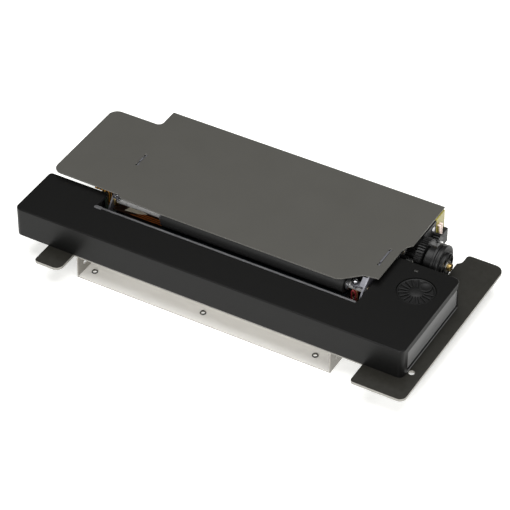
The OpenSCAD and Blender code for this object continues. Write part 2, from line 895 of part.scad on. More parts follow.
module motor_body() {
    right = motor_face_x - motor_sheet;
    left = right - motor_length;
    color("#1d1d1d") in_place() difference() {
        union() {
            block([left, motor_front_y, 1],
                [right, motor_front_y + 14.4, motor_top]);
            block([left, motor_front_y + 14.4, motor_split],
                [right, motor_front_y + motor_depth, motor_top]);
        }
        bar(motor_axis, 1 + running_clearance, right - 12, right + 1);
        for (side = [-1, 1])
            bar(motor_axis + [0, side * motor_screw_offset], motor_screw_r,
                right - 5, right + 1);
    }
}

// Yellow insulating tape wound round the rear of the motor
module motor_tape() {
    right = motor_face_x;
    inner_right = right - motor_sheet;
    left = inner_right - motor_length;
    near = tape_front_y;
    far = motor_front_y + motor_depth;
    color("#b3a62f") in_place() difference() {
        block([left - 0.4, near, motor_split - 0.2],
            [right, far + 0.3, motor_top + 0.3]);
        block([left, near - 1, motor_split],
            [inner_right, far, motor_top]);
    }
}

module motor_connector() {
    color("#161616") in_place()
        block([connector_right - 21, connector_front, free_gap],
            [connector_right, motor_front_y + motor_depth + 0.6,
            connector_top]);
}

// Two insulated leads that loop from the motor down into its connector
module motor_leads() {
    r = 0.8;
    high = connector_top + 8.6;
    out_x = connector_right - 1.4;
    color("#e6d3cc") in_place()
        for (y = [connector_front + 2, connector_front + 4.4]) {
            bar([y, high], r, motor_face_x, out_x);
            translate([out_x, y, high]) sphere(r = r);
            translate([out_x, y, connector_top])
                cylinder(r = r, h = high - connector_top);
        }
}

module motor_screws() {
    color("#e2dcd6") in_place()
        for (side = [-1, 1]) {
            axis = motor_axis + [0, side * motor_screw_offset];
            bar(axis, motor_screw_r, motor_face_x - 5, motor_face_x);
            bar(axis, 2.2, motor_face_x, motor_face_x + 0.6);
        }
}

// ---- Front roller body ----

front_shaft_end = train_end + 0.8;
module front_shaft() {
    color("#cfcfcc") in_place()
        bar(front_axis, shaft_r, left_frame_x - 2.6, front_shaft_end);
}

module front_roller() {
    color("#1a1a1a") in_place() difference() {
        bar(front_axis, roller_r, front_roller_x,
            front_roller_x + front_roller_length);
        bar(front_axis, shaft_r, front_roller_x - 1,
            front_roller_x + front_roller_length + 1);
    }
}

module front_collars() {
    color("#a9a9a6") in_place()
        for (x = [front_roller_x - 2.4,
            front_roller_x + front_roller_length + 0.6])
            difference() {
                bar(front_axis, shaft_r + 1.6, x, x + 1.8);
                bar(front_axis, shaft_r, x - 1, x + 3);
            }
}

module front_clips() {
    color("#8f8f8b") in_place()
        clip(front_axis, shaft_r + 1.4, shaft_r, left_frame_x - 1.3, 0.8);
}

module front_gear() {
    color("#202020") in_place()
        gear(front_axis, front_teeth, front_phase, train_x, train_end,
            shaft_r);
}

// ---- Idlers ----

module dial_idler_gear() {
    color("#1c1c1c") in_place()
        gear(dial_idler_axis, dial_idler_teeth, dial_idler_phase,
            train_x, dial_idler_end, post_r + running_clearance);
}

module front_idler_gear() {
    color("#232323") in_place()
        gear(front_idler_axis, idler_teeth, front_idler_phase,
            train_x, train_end, post_r + running_clearance);
}

module rear_idler_gear() {
    color("#1c1c1c") in_place()
        gear(rear_idler_axis, idler_teeth, rear_idler_phase,
            train_x, train_end, post_r + running_clearance);
}

// ---- Rear roller body ----

module rear_shaft() {
    color("#cfcfcc") in_place() difference() {
        bar(rear_axis, shaft_r, left_frame_x - 2.6, drum_lip_end);
        bar(rear_axis, 1.25, drum_lip_end - 7, drum_lip_end + 1);
    }
}

module rear_rollers() {
    color("#1a1a1a") in_place() for (side = [-1, 1]) {
        middle = track_middle
            + side * (rear_roller_gap + rear_roller_length) / 2;
        difference() {
            bar(rear_axis, roller_r, middle - rear_roller_length / 2,
                middle + rear_roller_length / 2);
            bar(rear_axis, shaft_r, middle - rear_roller_length,
                middle + rear_roller_length);
        }
    }
}

module reduction_gear() {
    color("#191919") in_place() {
        gear(rear_axis, rear_small_teeth, rear_small_phase, train_x,
            train_end, shaft_r);
        difference() {
            bar(rear_axis, shaft_r + 1.5, train_end, large_gear_x);
            bar(rear_axis, shaft_r, train_end - 1, large_gear_x + 1);
        }
        gear(rear_axis, rear_large_teeth, rear_large_phase,
            large_gear_x, large_gear_end, shaft_r);
    }
}

module clutch_drum() {
    color("#151515") in_place() difference() {
        union() {
            bar(rear_axis, shaft_r + 3, large_gear_end, drum_x);
            bar(rear_axis, 10.6, drum_x, rim_x);
            bar(rear_axis, rim_r, rim_x, rim_x + 2);
            bar(rear_axis, rim_r - 1, rim_x + 2, drum_end - 2);
            bar(rear_axis, rim_r, drum_end - 2, drum_end);
            bar(rear_axis, 9.6, drum_end, drum_lip_end);
        }
        bar(rear_axis, shaft_r, large_gear_end - 1, drum_lip_end + 1);
        // lightening pockets in the outer face
        for (turn = [0 : 5]) bar(
            step(rear_axis, turn * 60, 6.9), 1.8,
            drum_end - 3, drum_lip_end + 1);
    }
}

module shaft_washer() {
    color("#c9c9c9") in_place() difference() {
        bar(rear_axis, 4.4, drum_lip_end, washer_end);
        bar(rear_axis, 1.25, drum_lip_end - 1, washer_end + 1);
    }
}

module shaft_screw() {
    color("#b98d2f") in_place() {
        bar(rear_axis, 1.2, drum_lip_end - 6, washer_end);
        difference() {
            bar(rear_axis, 2.8, washer_end, screw_end);
            block([screw_end - 1, rear_axis[0] - 0.4, rear_axis[1] - 4],
                [screw_end + 1, rear_axis[0] + 0.4, rear_axis[1] + 4]);
        }
    }
}

module rear_clip() {
    color("#8f8f8b") in_place()
        clip(rear_axis, shaft_r + 1.4, shaft_r, left_frame_x - 1.3, 0.8);
}

// ---- Motor rotor ----

module motor_shaft() {
    color("#dcdcdc") in_place()
        bar(motor_axis, 1, motor_face_x - 11, large_gear_end + 2);
}

module motor_pinion() {
    color("#1d1d1c") in_place()
        gear(motor_axis, pinion_teeth, pinion_phase, large_gear_x,
            large_gear_end, 1);
}

// ---- Finger dial with crown gear below ----

module feed_dial() {
    rim_z = bezel_height - bezel_roof - free_gap;
    rim_low = rim_z - 1.3;
    crown_low = crown_pitch_z - 0.85 * gear_module;
    crown_base = crown_pitch_z + 1.2 * gear_module;
    pitch_length = PI * gear_module;
    color("#161616") in_place()
        translate([dial_centre[0], dial_centre[1], 0]) {
            difference() {
                union() {
                    translate([0, 0, rim_low])
                        cylinder(r = dial_r, h = dial_top - rim_low);
                    translate([0, 0, rim_low])
                        cylinder(r = dial_r + 1.3, h = rim_z - rim_low);
                    translate([0, 0, crown_base])
                        cylinder(r = crown_r + crown_face / 2 + 0.3,
                            h = rim_low - crown_base + 0.2);
                    translate([0, 0, crown_low])
                        cylinder(r = dial_post_r + 2.5,
                            h = rim_low - crown_low);
                }
                // bearing bore, closed at the top
                translate([0, 0, crown_low - 1])
                    cylinder(r = dial_post_r + running_clearance,
                        h = dial_post_top - crown_low + 1 + free_gap);
                // finger dimple near the rim
                translate([3.2, 6.6, dial_top]) cylinder(r = 3.4, h = 3,
                    center = true);
                // ribbed ring round the finger face
                for (turn = [0 : 17]) rotate([0, 0, turn * 20 + 10])
                    if (abs(turn * 20 + 10 - 64) > 36)
                        block([7, -0.65, dial_top - 1.1],
                            [11.6, 0.65, dial_top + 1]);
            }
            // downward crown teeth
            for (tooth = [0 : dial_teeth - 1])
                rotate([0, 0, dial_phase + tooth * 360 / dial_teeth])
                    across(crown_r - crown_face / 2,
                        crown_r + crown_face / 2) polygon([
                        [-0.27 * pitch_length, crown_base],
                        [-0.1 * pitch_length, crown_low],
                        [0.1 * pitch_length, crown_low],
                        [0.27 * pitch_length, crown_base],
                        [0.27 * pitch_length, crown_base + 0.4],
                        [-0.27 * pitch_length, crown_base + 0.4]
                    ]);
        }
}

// ---- Image sensor, sprung against the front roller ----

sensor_left = track_left + foot_width + 1;
sensor_right = wire_plug_x - 1.4;
sensor_low = glass_top - 11.6;
sensor_near = roller_y - 6.4;
sensor_far = roller_y + 7;
sensor_travel = 1.2;
module sensor_bar() {
    color("#26282b") in_place() {
        block([sensor_left, sensor_near, sensor_low],
            [sensor_right, sensor_far, glass_top - 1.5]);
    }
}

module sensor_glass() {
    color("#2f3a40") in_place()
        block([front_roller_x - 1, sensor_near + 1, glass_top - 1.5],
            [front_roller_x + front_roller_length + 1, sensor_far - 1,
            glass_top]);
}

// Leaf springs under the sensor, drawn pressed flat
module sensor_springs() {
    low = sensor_low - sensor_travel - free_gap;
    color("#bfbfba") in_place() for (x = [sensor_left + 24,
            sensor_right - 24]) {
        across(x - 4, x + 4) polygon([
            [channel_depth + tray_sheet, flange_bottom - 5.4],
            [channel_depth + 6, flange_bottom - 5.4],
            [roller_y - 5, low], [roller_y + 5, low],
            [roller_y + 5, low - 0.5], [roller_y - 5, low - 0.5],
            [channel_depth + 6, flange_bottom - 5.9],
            [channel_depth + tray_sheet, flange_bottom - 5.9]
        ]);
    }
}

// ---- Sprung pinch rollers under the rear rollers ----

module pinch_arm() {
    cheek = 1.6;
    color("#3a3a38") in_place() {
        for (x = [track_middle - pinch_half_span - cheek,
            track_middle + pinch_half_span]) difference() {
            union() {
                bar(pinch_axis, 3, x, x + cheek);
                bar(pivot_axis, 3, x, x + cheek);
                across(x, x + cheek) polygon([
                    pinch_axis + [0, -3], pivot_axis + [0, -3],
                    pivot_axis + [0, 3], pinch_axis + [0, 2.6]
                ]);
            }
            bar(pinch_axis, pinch_shaft_r, x - 1, x + cheek + 1);
            bar(pivot_axis, pivot_r + running_clearance, x - 1,
                x + cheek + 1);
        }
        // cross member behind the rollers
        across(track_middle - pinch_half_span,
            track_middle + pinch_half_span) polygon([
                pinch_axis + [7.2, -4.6], pinch_axis + [9.6, -5.2],
                pinch_axis + [9.6, -3.6], pinch_axis + [7.2, -3]
            ]);
    }
}

// Pivot pins of the pinch arm with their hangers under the flange
module pinch_pivots() {
    cheek = 1.6;
    color("#bdbdb8") in_place()
        for (side = [-1, 1]) {
            outer = track_middle + side * (pinch_half_span + cheek + 0.5);
            bar(pivot_axis, pivot_r,
                min(outer, outer - side * (cheek + 1.6)),
                max(outer, outer - side * (cheek + 1.6)));
            low_x = min(outer, outer + side * 1.5);
            block([low_x, pivot_axis[0] - 3, pivot_axis[1] - 3],
                [low_x + 1.5, tray_rear_y - tray_sheet, flange_bottom]);
        }
}

module pinch_shaft() {
    color("#cfcfcc") in_place()
        bar(pinch_axis, pinch_shaft_r, track_middle - pinch_half_span - 2,
            track_middle + pinch_half_span + 2);
}

module pinch_rollers() {
    color("#e4e0d4") in_place() for (side = [-1, 1]) {
        middle = track_middle
            + side * (rear_roller_gap + rear_roller_length) / 2;
        difference() {
            bar(pinch_axis, pinch_r, middle - rear_roller_length / 2,
                middle + rear_roller_length / 2);
            bar(pinch_axis, pinch_shaft_r + running_clearance,
                middle - rear_roller_length, middle + rear_roller_length);
        }
    }
}

mounting_flange();
bezel();
bezel_end_panel();
indicator_lens();
indicator_board();
top_plate();
left_side_frame();
right_side_frame();
guide_strip();
lower_channel();
base_tray();
floor_guide();
exit_guide();
upper_guide();
main_board();
board_chips();
board_connectors();
board_standoffs();
tray_screws();
cover_screws();
shaft_bushes();
gear_posts();
post_clips();
motor_bracket();
motor_body();
motor_tape();
motor_connector();
motor_leads();
motor_screws();
sensor_springs();
flex_ribbon();
control_board();
control_connector();
control_spacers();
sensor_wires();
dial_post();
front_roller();
front_shaft();
front_collars();
front_clips();
front_gear();
dial_idler_gear();
front_idler_gear();
rear_idler_gear();
rear_rollers();
rear_shaft();
reduction_gear();
clutch_drum();
shaft_washer();
shaft_screw();
rear_clip();
motor_pinion();
motor_shaft();
feed_dial();
sensor_bar();
sensor_glass();
pinch_arm();
pinch_pivots();
pinch_shaft();
pinch_rollers();
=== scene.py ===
# Looks of the wide open-frame bill validator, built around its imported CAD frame. Shapes are
# modelled in millimetres in the frame's own axes: +X along the bezel, +Y to the rear, +Z up.
import json
import math

import bmesh
import bpy
from mathutils import Matrix, Vector


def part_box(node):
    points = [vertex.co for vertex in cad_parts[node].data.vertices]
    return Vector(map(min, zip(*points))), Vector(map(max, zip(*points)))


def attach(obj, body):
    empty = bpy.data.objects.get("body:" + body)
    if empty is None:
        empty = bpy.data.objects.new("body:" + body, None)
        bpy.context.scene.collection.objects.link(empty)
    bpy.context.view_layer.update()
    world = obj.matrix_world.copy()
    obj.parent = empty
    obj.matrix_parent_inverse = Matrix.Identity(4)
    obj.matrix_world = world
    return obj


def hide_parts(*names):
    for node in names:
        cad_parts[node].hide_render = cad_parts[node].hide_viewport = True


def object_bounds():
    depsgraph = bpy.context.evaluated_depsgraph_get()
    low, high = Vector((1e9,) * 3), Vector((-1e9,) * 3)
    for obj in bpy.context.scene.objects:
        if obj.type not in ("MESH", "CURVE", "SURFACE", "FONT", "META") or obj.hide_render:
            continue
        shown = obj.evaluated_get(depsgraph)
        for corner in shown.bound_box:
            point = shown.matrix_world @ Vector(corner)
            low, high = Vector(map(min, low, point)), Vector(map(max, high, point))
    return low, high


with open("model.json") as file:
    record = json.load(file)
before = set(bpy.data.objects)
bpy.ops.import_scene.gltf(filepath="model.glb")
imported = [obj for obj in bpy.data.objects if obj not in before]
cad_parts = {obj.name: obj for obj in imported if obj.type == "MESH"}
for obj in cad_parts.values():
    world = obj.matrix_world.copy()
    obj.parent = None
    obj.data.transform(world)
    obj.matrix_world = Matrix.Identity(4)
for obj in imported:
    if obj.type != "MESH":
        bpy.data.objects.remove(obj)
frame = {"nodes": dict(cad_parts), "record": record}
cad_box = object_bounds()


# ---------------------------------------------------------------- mounting flange
# Two millimetre steel plate, laser cut, deburred and powder coated black before it is screwed
# to the machine. The coat is thin on the cut edges, where the grey steel shows through.
MM = 0.001
FLANGE_EDGE = 0.22
MERGE_DISTANCE = 0.004
behaviour = frame["record"]["behaviour"]
node_body = {node: body for body, nodes in behaviour["bodies"].items() for node in nodes}


# Sets a bmesh drawn in millimetres on the body of the CAD node that it stands for. Each
# corner's normal is weighted by the area of the faces that run on smoothly from it.
def settle(name, shape, finish, node, replaces=True, smooth=50):
    bmesh.ops.scale(shape, vec=(MM, MM, MM), verts=shape.verts)
    bmesh.ops.recalc_face_normals(shape, faces=shape.faces)
    shape.normal_update()
    limit = math.cos(math.radians(smooth))
    area = {face: face.calc_area() for face in shape.faces}
    normals = []
    for face in shape.faces:
        face.smooth = True
        for corner in face.loops:
            total = Vector()
            for other in corner.vert.link_faces:
                if other.normal.dot(face.normal) > limit:
                    total += other.normal * area[other]
            normals.append(total.normalized() if total.length else face.normal.copy())
    mesh = bpy.data.meshes.new(name)
    shape.to_mesh(mesh)
    shape.free()
    mesh.normals_split_custom_set(normals)
    for one in finish if isinstance(finish, list) else [finish]:
        mesh.materials.append(one)
    made = bpy.data.objects.new(name, mesh)
    bpy.context.scene.collection.objects.link(made)
    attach(made, node_body[node])
    if replaces:
        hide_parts(node)
    return made


# A CAD node's own shape in millimetres, with its coincident corners merged.
def cad_copy(node):
    shape = bmesh.new()
    shape.from_mesh(frame["nodes"][node].data)
    bmesh.ops.scale(shape, vec=(1 / MM, 1 / MM, 1 / MM), verts=shape.verts)
    bmesh.ops.remove_doubles(shape, verts=shape.verts, dist=MERGE_DISTANCE)
    return shape


# A CAD node's own shape with its edges broken: its flat faces are made whole again and its
# steep edges are rounded.
def broken_edges(node, radius, segments=2, steep=40):
    shape = cad_copy(node)
    bmesh.ops.dissolve_limit(
        shape, angle_limit=math.radians(1.0), verts=shape.verts, edges=shape.edges,
        use_dissolve_boundaries=False, delimit={"NORMAL"},
    )
    limit = math.radians(steep)
    edges = [e for e in shape.edges if e.is_manifold and e.calc_face_angle(0) > limit]
    if edges:
        bmesh.ops.bevel(
            shape, geom=edges, offset=radius, offset_type="OFFSET", affect="EDGES",
            segments=segments, profile=0.5, material=-1, clamp_overlap=True,
        )
    return shape


# Gives the upright faces of a sheet its second finish: bare cut steel on the painted sheets,
# painted shade on the tinplate's walls.
def bare_or_shaded_sides(shape):
    shape.normal_update()
    for face in shape.faces:
        face.material_index = 1 if abs(face.normal.z) < 0.2 else 0
    return shape


# An sRGB hex colour in linear light.
def linear(hex_colour):
    channels = [int(hex_colour[i : i + 2], 16) / 255 for i in (1, 3, 5)]
    return [
        c / 12.92 if c <= 0.04045 else ((c + 0.055) / 1.055) ** 2.4 for c in channels
    ] + [1.0]


# Adds a node, with its settings and the sockets that feed it.
def add(tree, kind, links=None, values=None, **settings):
    made = tree.nodes.new(kind)
    for key, value in settings.items():
        setattr(made, key, value)
    for socket, value in (values or {}).items():
        made.inputs[socket].default_value = value
    for socket, source in (links or {}).items():
        tree.links.new(source, made.inputs[socket])
    return made


# Starts a finish: the shader's plain sockets are set here and nowhere else.
def new_finish(name, colour, roughness, **sockets):
    finish = bpy.data.materials.new(name)
    finish.use_nodes = True
    tree = finish.node_tree
    shader = tree.nodes["Principled BSDF"]
    shader.inputs["Base Color"].default_value = linear(colour)
    shader.inputs["Roughness"].default_value = roughness
    for key, value in sockets.items():
        shader.inputs[key.replace("_", " ")].default_value = value
    return finish, tree, shader


# Two colours mixed by a noise of the given grain, in millimetres, with a bump and a change
# of gloss from the same noise.
def mottle(tree, shader, low, high, grain, gloss, bump=0.0, depth=0.02, stretch=(1, 1, 1)):
    place = add(tree, "ShaderNodeTexCoord").outputs["Object"]
    place = add(
        tree, "ShaderNodeMapping", {"Vector": place}, {"Scale": stretch}
    ).outputs["Vector"]
    noise = add(
        tree, "ShaderNodeTexNoise", {"Vector": place},
        {"Scale": 1 / (grain * MM), "Detail": 4.0, "Roughness": 0.55},
    ).outputs["Fac"]
    mix = add(tree, "ShaderNodeMix", {"Factor": noise}, data_type="RGBA")
    mix.inputs["A"].default_value = linear(low)
    mix.inputs["B"].default_value = linear(high)
    tree.links.new(mix.outputs["Result"], shader.inputs["Base Color"])
    spread = add(
        tree, "ShaderNodeMapRange", {"Value": noise},
        {"From Min": 0.3, "From Max": 0.7, "To Min": gloss[0], "To Max": gloss[1]},
    )
    tree.links.new(spread.outputs["Result"], shader.inputs["Roughness"])
    if bump:
        relief = add(
            tree, "ShaderNodeBump", {"Height": noise},
            {"Strength": bump, "Distance": depth * MM},
        )
        tree.links.new(relief.outputs["Normal"], shader.inputs["Normal"])


# Black powder coat: glossy enough to pick up the room softly, with a faint orange peel.
powder_coat, tree, shader = new_finish(
    "black_powder_coat", "#22211d", 0.34, IOR=1.5, Specular_IOR_Level=0.42
)
mottle(tree, shader, "#201f1b", "#252420", grain=2.2, gloss=(0.3, 0.38), bump=0.04, depth=0.03)
# Laser-cut steel edge: a dull light grey line round every black or grey sheet.
cut_steel, tree, shader = new_finish("bare_cut_steel", "#8b8984", 0.5, Metallic=0.6)
mottle(tree, shader, "#7d7b76", "#9a9893", grain=0.8, gloss=(0.44, 0.58), bump=0.1,
       stretch=(1, 1, 0.1))
settle("mounting_flange_plate",
       bare_or_shaded_sides(broken_edges("mounting_flange", FLANGE_EDGE, 3)),
       [powder_coat, cut_steel], "mounting_flange")


# ---------------------------------------------------------------- bezel
# One injection moulding in black ABS, hollow from below. Its plan is a bar with a short ear
# at the left and a deep ear, over the gears, at the right.
BEZEL_WALL = 2.5
BEZEL_ROOF = 2.0
BEZEL_RIM_RADIUS = 1.6
LEFT_EAR_LENGTH = 48.2
LEFT_EAR_DEPTH = 45.8
RIGHT_EAR_LENGTH = 50.0
BAR_DEPTH = 28.5
PANEL_GAP = 0.35
TRAIN_GAP = 1.2
DIAL_HOLE_RADIUS = 13.6
LENS_SIZE = (3.4, 2.4)


# The lowest and highest corner of a CAD node, in millimetres.
def corners(node):
    low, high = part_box(node)
    return low / MM, high / MM


# A block over a plan outline, its upright edges rounded by the radius given for each point.
def prism(outline, bottom, top, radii=None):
    shape = bmesh.new()
    base = shape.faces.new([shape.verts.new((x, y, bottom)) for x, y in outline])
    raised = bmesh.ops.extrude_face_region(shape, geom=[base])["geom"]
    bmesh.ops.translate(
        shape, vec=(0, 0, top - bottom),
        verts=[g for g in raised if isinstance(g, bmesh.types.BMVert)],
    )
    bmesh.ops.recalc_face_normals(shape, faces=shape.faces)
    for (x, y), radius in (radii or {}).items():
        uprights = [
            e for e in shape.edges
            if all((v.co.x - x) ** 2 + (v.co.y - y) ** 2 < 0.01 for v in e.verts)
        ]
        bmesh.ops.bevel(
            shape, geom=uprights, offset=radius, affect="EDGES", segments=8, profile=0.5,
            material=-1,
        )
    return shape


# Rounds the rim of the top face at a height.
def round_rim(shape, height, radius, segments=5):
    rim = [
        e for e in shape.edges
        if all(abs(v.co.z - height) < 0.01 for v in e.verts)
        and e.is_manifold and e.calc_face_angle(0) > 0.6
    ]
    bmesh.ops.bevel(
        shape, geom=rim, offset=radius, affect="EDGES", segments=segments, profile=0.5,
        material=-1, clamp_overlap=True,
    )


# Cuts shapes out of another, all in millimetres, and returns the result.
def cut(shape, cutters):
    def as_object(source):
        mesh = bpy.data.meshes.new("working")
        source.to_mesh(mesh)
        source.free()
        made = bpy.data.objects.new("working", mesh)
        bpy.context.scene.collection.objects.link(made)
        return made

    body = as_object(shape)
    tools = [as_object(cutter) for cutter in cutters]
    for tool in tools:
        step = body.modifiers.new("cut", "BOOLEAN")
        step.operation = "DIFFERENCE"
        step.solver = "EXACT"
        step.object = tool
    graph = bpy.context.evaluated_depsgraph_get()
    made = bmesh.new()
    made.from_mesh(body.evaluated_get(graph).to_mesh())
    for working in [body] + tools:
        bpy.data.objects.remove(working)
    bmesh.ops.remove_doubles(made, verts=made.verts, dist=0.003)
    return made


# A box between two corners, with its edges rounded.
def box_shape(low, high, radius=0.0, segments=3):
    shape = bmesh.new()
    middle = (Vector(low) + Vector(high)) / 2
    size = Vector(high) - Vector(low)
    bmesh.ops.create_cube(
        shape, size=1, matrix=Matrix.Translation(middle) @ Matrix.Diagonal((*size, 1))
    )
    if radius:
        bmesh.ops.bevel(
            shape, geom=shape.edges, offset=radius, affect="EDGES", segments=segments,
            profile=0.5, material=-1, clamp_overlap=True,
        )
    return shape


# A turned shape: a profile of (radius, height) points spun about an upright axis.
def turned(profile, centre, steps=64):
    shape = bmesh.new()
    points = [shape.verts.new((r, 0, h)) for r, h in profile]
    edges = [shape.edges.new(pair) for pair in zip(points, points[1:])]
    bmesh.ops.spin(
        shape, geom=points + edges, cent=(0, 0, 0), axis=(0, 0, 1), angle=math.tau,
        steps=steps, use_merge=True, use_normal_flip=False,
    )
    bmesh.ops.remove_doubles(shape, verts=shape.verts, dist=0.0005)
    bmesh.ops.recalc_face_normals(shape, faces=shape.faces)
    bmesh.ops.translate(shape, vec=centre, verts=shape.verts)
    return shape


bezel_low, bezel_high = corners("bezel")
panel_low, panel_high = corners("bezel_end_panel")
train_low, train_high = corners("front_gear")
dial_centre = sum(corners("feed_dial"), Vector()) / 2
lens_centre = sum(corners("indicator_lens"), Vector()) / 2
inner_left = bezel_low.x + LEFT_EAR_LENGTH
inner_right = bezel_high.x - RIGHT_EAR_LENGTH
bar_rear = bezel_low.y + BAR_DEPTH
ear_rear = bezel_low.y + LEFT_EAR_DEPTH
roof = bezel_high.z - BEZEL_ROOF
bezel_outline = [
    (bezel_low.x, bezel_low.y), (bezel_high.x, bezel_low.y), (bezel_high.x, bezel_high.y),
    (inner_right, bezel_high.y), (inner_right, bar_rear), (inner_left, bar_rear),
    (inner_left, ear_rear), (bezel_low.x, ear_rear),
]
bezel_radii = dict(zip(bezel_outline, (4.5, 4.0, 4.5, 6.0, 0.8, 0.8, 3.0, 2.8)))
bezel_shape = prism(bezel_outline, bezel_low.z, bezel_high.z, bezel_radii)
round_rim(bezel_shape, bezel_high.z, BEZEL_RIM_RADIUS)
hollow_outline = [
    (x + dx * BEZEL_WALL, y + dy * BEZEL_WALL) for (x, y), (dx, dy) in zip(
        bezel_outline,
        ((1, 1), (-1, 1), (-1, -1), (1, -1), (1, -1), (-1, -1), (-1, -1), (1, -1)),
    )
]
bezel_shape = cut(bezel_shape, [
    prism(hollow_outline, bezel_low.z - 1, roof),
    turned(
        [(0, -6), (DIAL_HOLE_RADIUS, -6), (DIAL_HOLE_RADIUS, 1), (0, 1)],
        (dial_centre.x, dial_centre.y, bezel_high.z), steps=96,
    ),
    box_shape(
        (lens_centre.x - LENS_SIZE[0] / 2, lens_centre.y - LENS_SIZE[1] / 2, roof - 1),
        (lens_centre.x + LENS_SIZE[0] / 2, lens_centre.y + LENS_SIZE[1] / 2,
         bezel_high.z + 1),
    ),
    box_shape(
        (bezel_high.x - 1.3, panel_low.y - PANEL_GAP, panel_low.z - PANEL_GAP),
        (bezel_high.x + 1, panel_high.y + PANEL_GAP, panel_high.z + PANEL_GAP),
    ),
    box_shape(
        (inner_right - 1, bar_rear + 1, bezel_low.z - 1),
        (inner_right + BEZEL_WALL + 1, bezel_high.y - 8, roof),
    ),
    box_shape(
        (inner_right - 1, bezel_high.y - 9, bezel_low.z - 1),
        (train_high.x + TRAIN_GAP, bezel_high.y + 1, roof),
    ),
    box_shape(
        (inner_left - BEZEL_WALL - 1, bar_rear + 8, bezel_low.z - 1),
        (inner_left + 1, ear_rear + 1, roof),
    ),
    box_shape(
        (train_low.x - 0.3, train_low.y - 0.3, roof - 1),
        (train_high.x + TRAIN_GAP, train_high.y + 0.3, train_high.z + 0.4),
    ),
])
# Black ABS with a fine spark-eroded texture: matt from above, a little lighter on its sides.
moulded_abs, tree, shader = new_finish(
    "black_textured_abs", "#0b0b0b", 0.38, IOR=1.5, Specular_IOR_Level=0.17
)
mottle(tree, shader, "#0a0a0a", "#0c0c0b", grain=0.45, gloss=(0.34, 0.42), bump=0.06,
       depth=0.02)
settle("bezel_moulding", bezel_shape, moulded_abs, "bezel", smooth=35)


# ---------------------------------------------------------------- bezel end panel
# Flat moulding that snaps into the recess of the bezel's right end, with a narrow border
# and a thin lip below it that catches the light.
PANEL_BORDER = 0.9
face_x = panel_high.x
# Satin grey ABS: clearly lighter than the bezel, with a soft even sheen.
panel_grey, tree, shader = new_finish("satin_grey_abs", "#626262", 0.42, IOR=1.5)
mottle(tree, shader, "#5e5e5e", "#666666", grain=0.6, gloss=(0.38, 0.46), bump=0.1)
panel_shape = broken_edges("bezel_end_panel", 0.25, 3)
panel_shape = cut(panel_shape, [
    box_shape(
        (face_x - 0.2, panel_low.y + PANEL_BORDER, panel_low.z + PANEL_BORDER),
        (face_x + 1, panel_high.y - PANEL_BORDER, panel_high.z - PANEL_BORDER),
    )
])
settle("bezel_side_panel", panel_shape, panel_grey, "bezel_end_panel", smooth=35)
lip = box_shape(
    (bezel_high.x - 0.4, panel_low.y - 1, bezel_low.z + 0.7),
    (bezel_high.x + 0.35, panel_high.y + 1, bezel_low.z + 1.3), 0.25, 3,
)
settle("bezel_side_lip", lip, panel_grey, "bezel_end_panel", replaces=False)


# ---------------------------------------------------------------- indicator lens
# Oblong light pipe moulded in smoked polycarbonate. It snaps into the bezel's roof over the
# indicator board and stands level with the bezel's top.
LENS_GAP = 0.12
# Smoked polycarbonate: almost as dark as the bezel, told apart by its gloss.
smoked_lens, tree, shader = new_finish(
    "smoked_polycarbonate", "#232220", 0.3, IOR=1.585, Specular_IOR_Level=0.4
)
mottle(tree, shader, "#201f1d", "#272624", grain=1.5, gloss=(0.26, 0.34))
lens = box_shape(
    (lens_centre.x - LENS_SIZE[0] / 2 + LENS_GAP, lens_centre.y - LENS_SIZE[1] / 2 + LENS_GAP,
     corners("indicator_lens")[0].z),
    (lens_centre.x + LENS_SIZE[0] / 2 - LENS_GAP, lens_centre.y + LENS_SIZE[1] / 2 - LENS_GAP,
     bezel_high.z + 0.15),
    0.5, 4,
)
settle("indicator_window", lens, smoked_lens, "indicator_lens")


# ---------------------------------------------------------------- finger dial
# Black knob moulded in one with its crown gear. Radial ribs for grip stand round its face,
# broken by a round finger cup near the rim at the right rear.
DIAL_RADIUS = 13.3
CUP_CENTRE = Vector((3.4, 6.9, 0))
CUP_RADIUS = 4.4
RIBS = 18
face_z = corners("feed_dial")[1].z
skirt_top = roof - 0.3 - face_z
crown = cad_copy("feed_dial")
bmesh.ops.bisect_plane(
    crown, geom=crown.verts[:] + crown.edges[:] + crown.faces[:],
    plane_co=(0, 0, face_z + skirt_top - 0.6), plane_no=(0, 0, 1), clear_outer=True,
)
bmesh.ops.holes_fill(crown, edges=[e for e in crown.edges if e.is_boundary], sides=0)
knob = turned(
    [(0, 0.1), (2.0, 0.08), (3.4, -0.1), (5.0, -0.5), (6.2, -1.2), (11.6, -1.2), (12.0, -0.6),
     (12.4, -0.25), (12.9, -0.2), (DIAL_RADIUS, -0.5), (DIAL_RADIUS, skirt_top),
     (DIAL_RADIUS + 1.3, skirt_top - 0.1), (DIAL_RADIUS + 1.3, skirt_top - 1.2),
     (0, skirt_top - 1.3)],
    (dial_centre.x, dial_centre.y, face_z), steps=96,
)
dial_parts = [knob, crown]
for turn in range(RIBS):
    angle = math.tau * (turn + 0.5) / RIBS
    outer_end = Vector((math.cos(angle) * 9, math.sin(angle) * 9, 0))
    if (outer_end - CUP_CENTRE).length < CUP_RADIUS + 1.4:
        continue
    rib = box_shape((5.0, -0.6, -1.4), (12.2, 0.6, -0.12), 0.35, 2)
    bmesh.ops.transform(
        rib, verts=rib.verts,
        matrix=Matrix.Translation((dial_centre.x, dial_centre.y, face_z))
        @ Matrix.Rotation(angle, 4, "Z"),
    )
    dial_parts.append(rib)
dial_parts.append(turned(
    [(0, -0.7), (1.6, -0.6), (2.8, -0.35), (3.6, -0.05), (4.1, 0.0), (CUP_RADIUS, -0.2),
     (CUP_RADIUS, -1.4), (0, -1.4)],
    (dial_centre.x + CUP_CENTRE.x, dial_centre.y + CUP_CENTRE.y, face_z), steps=40,
))


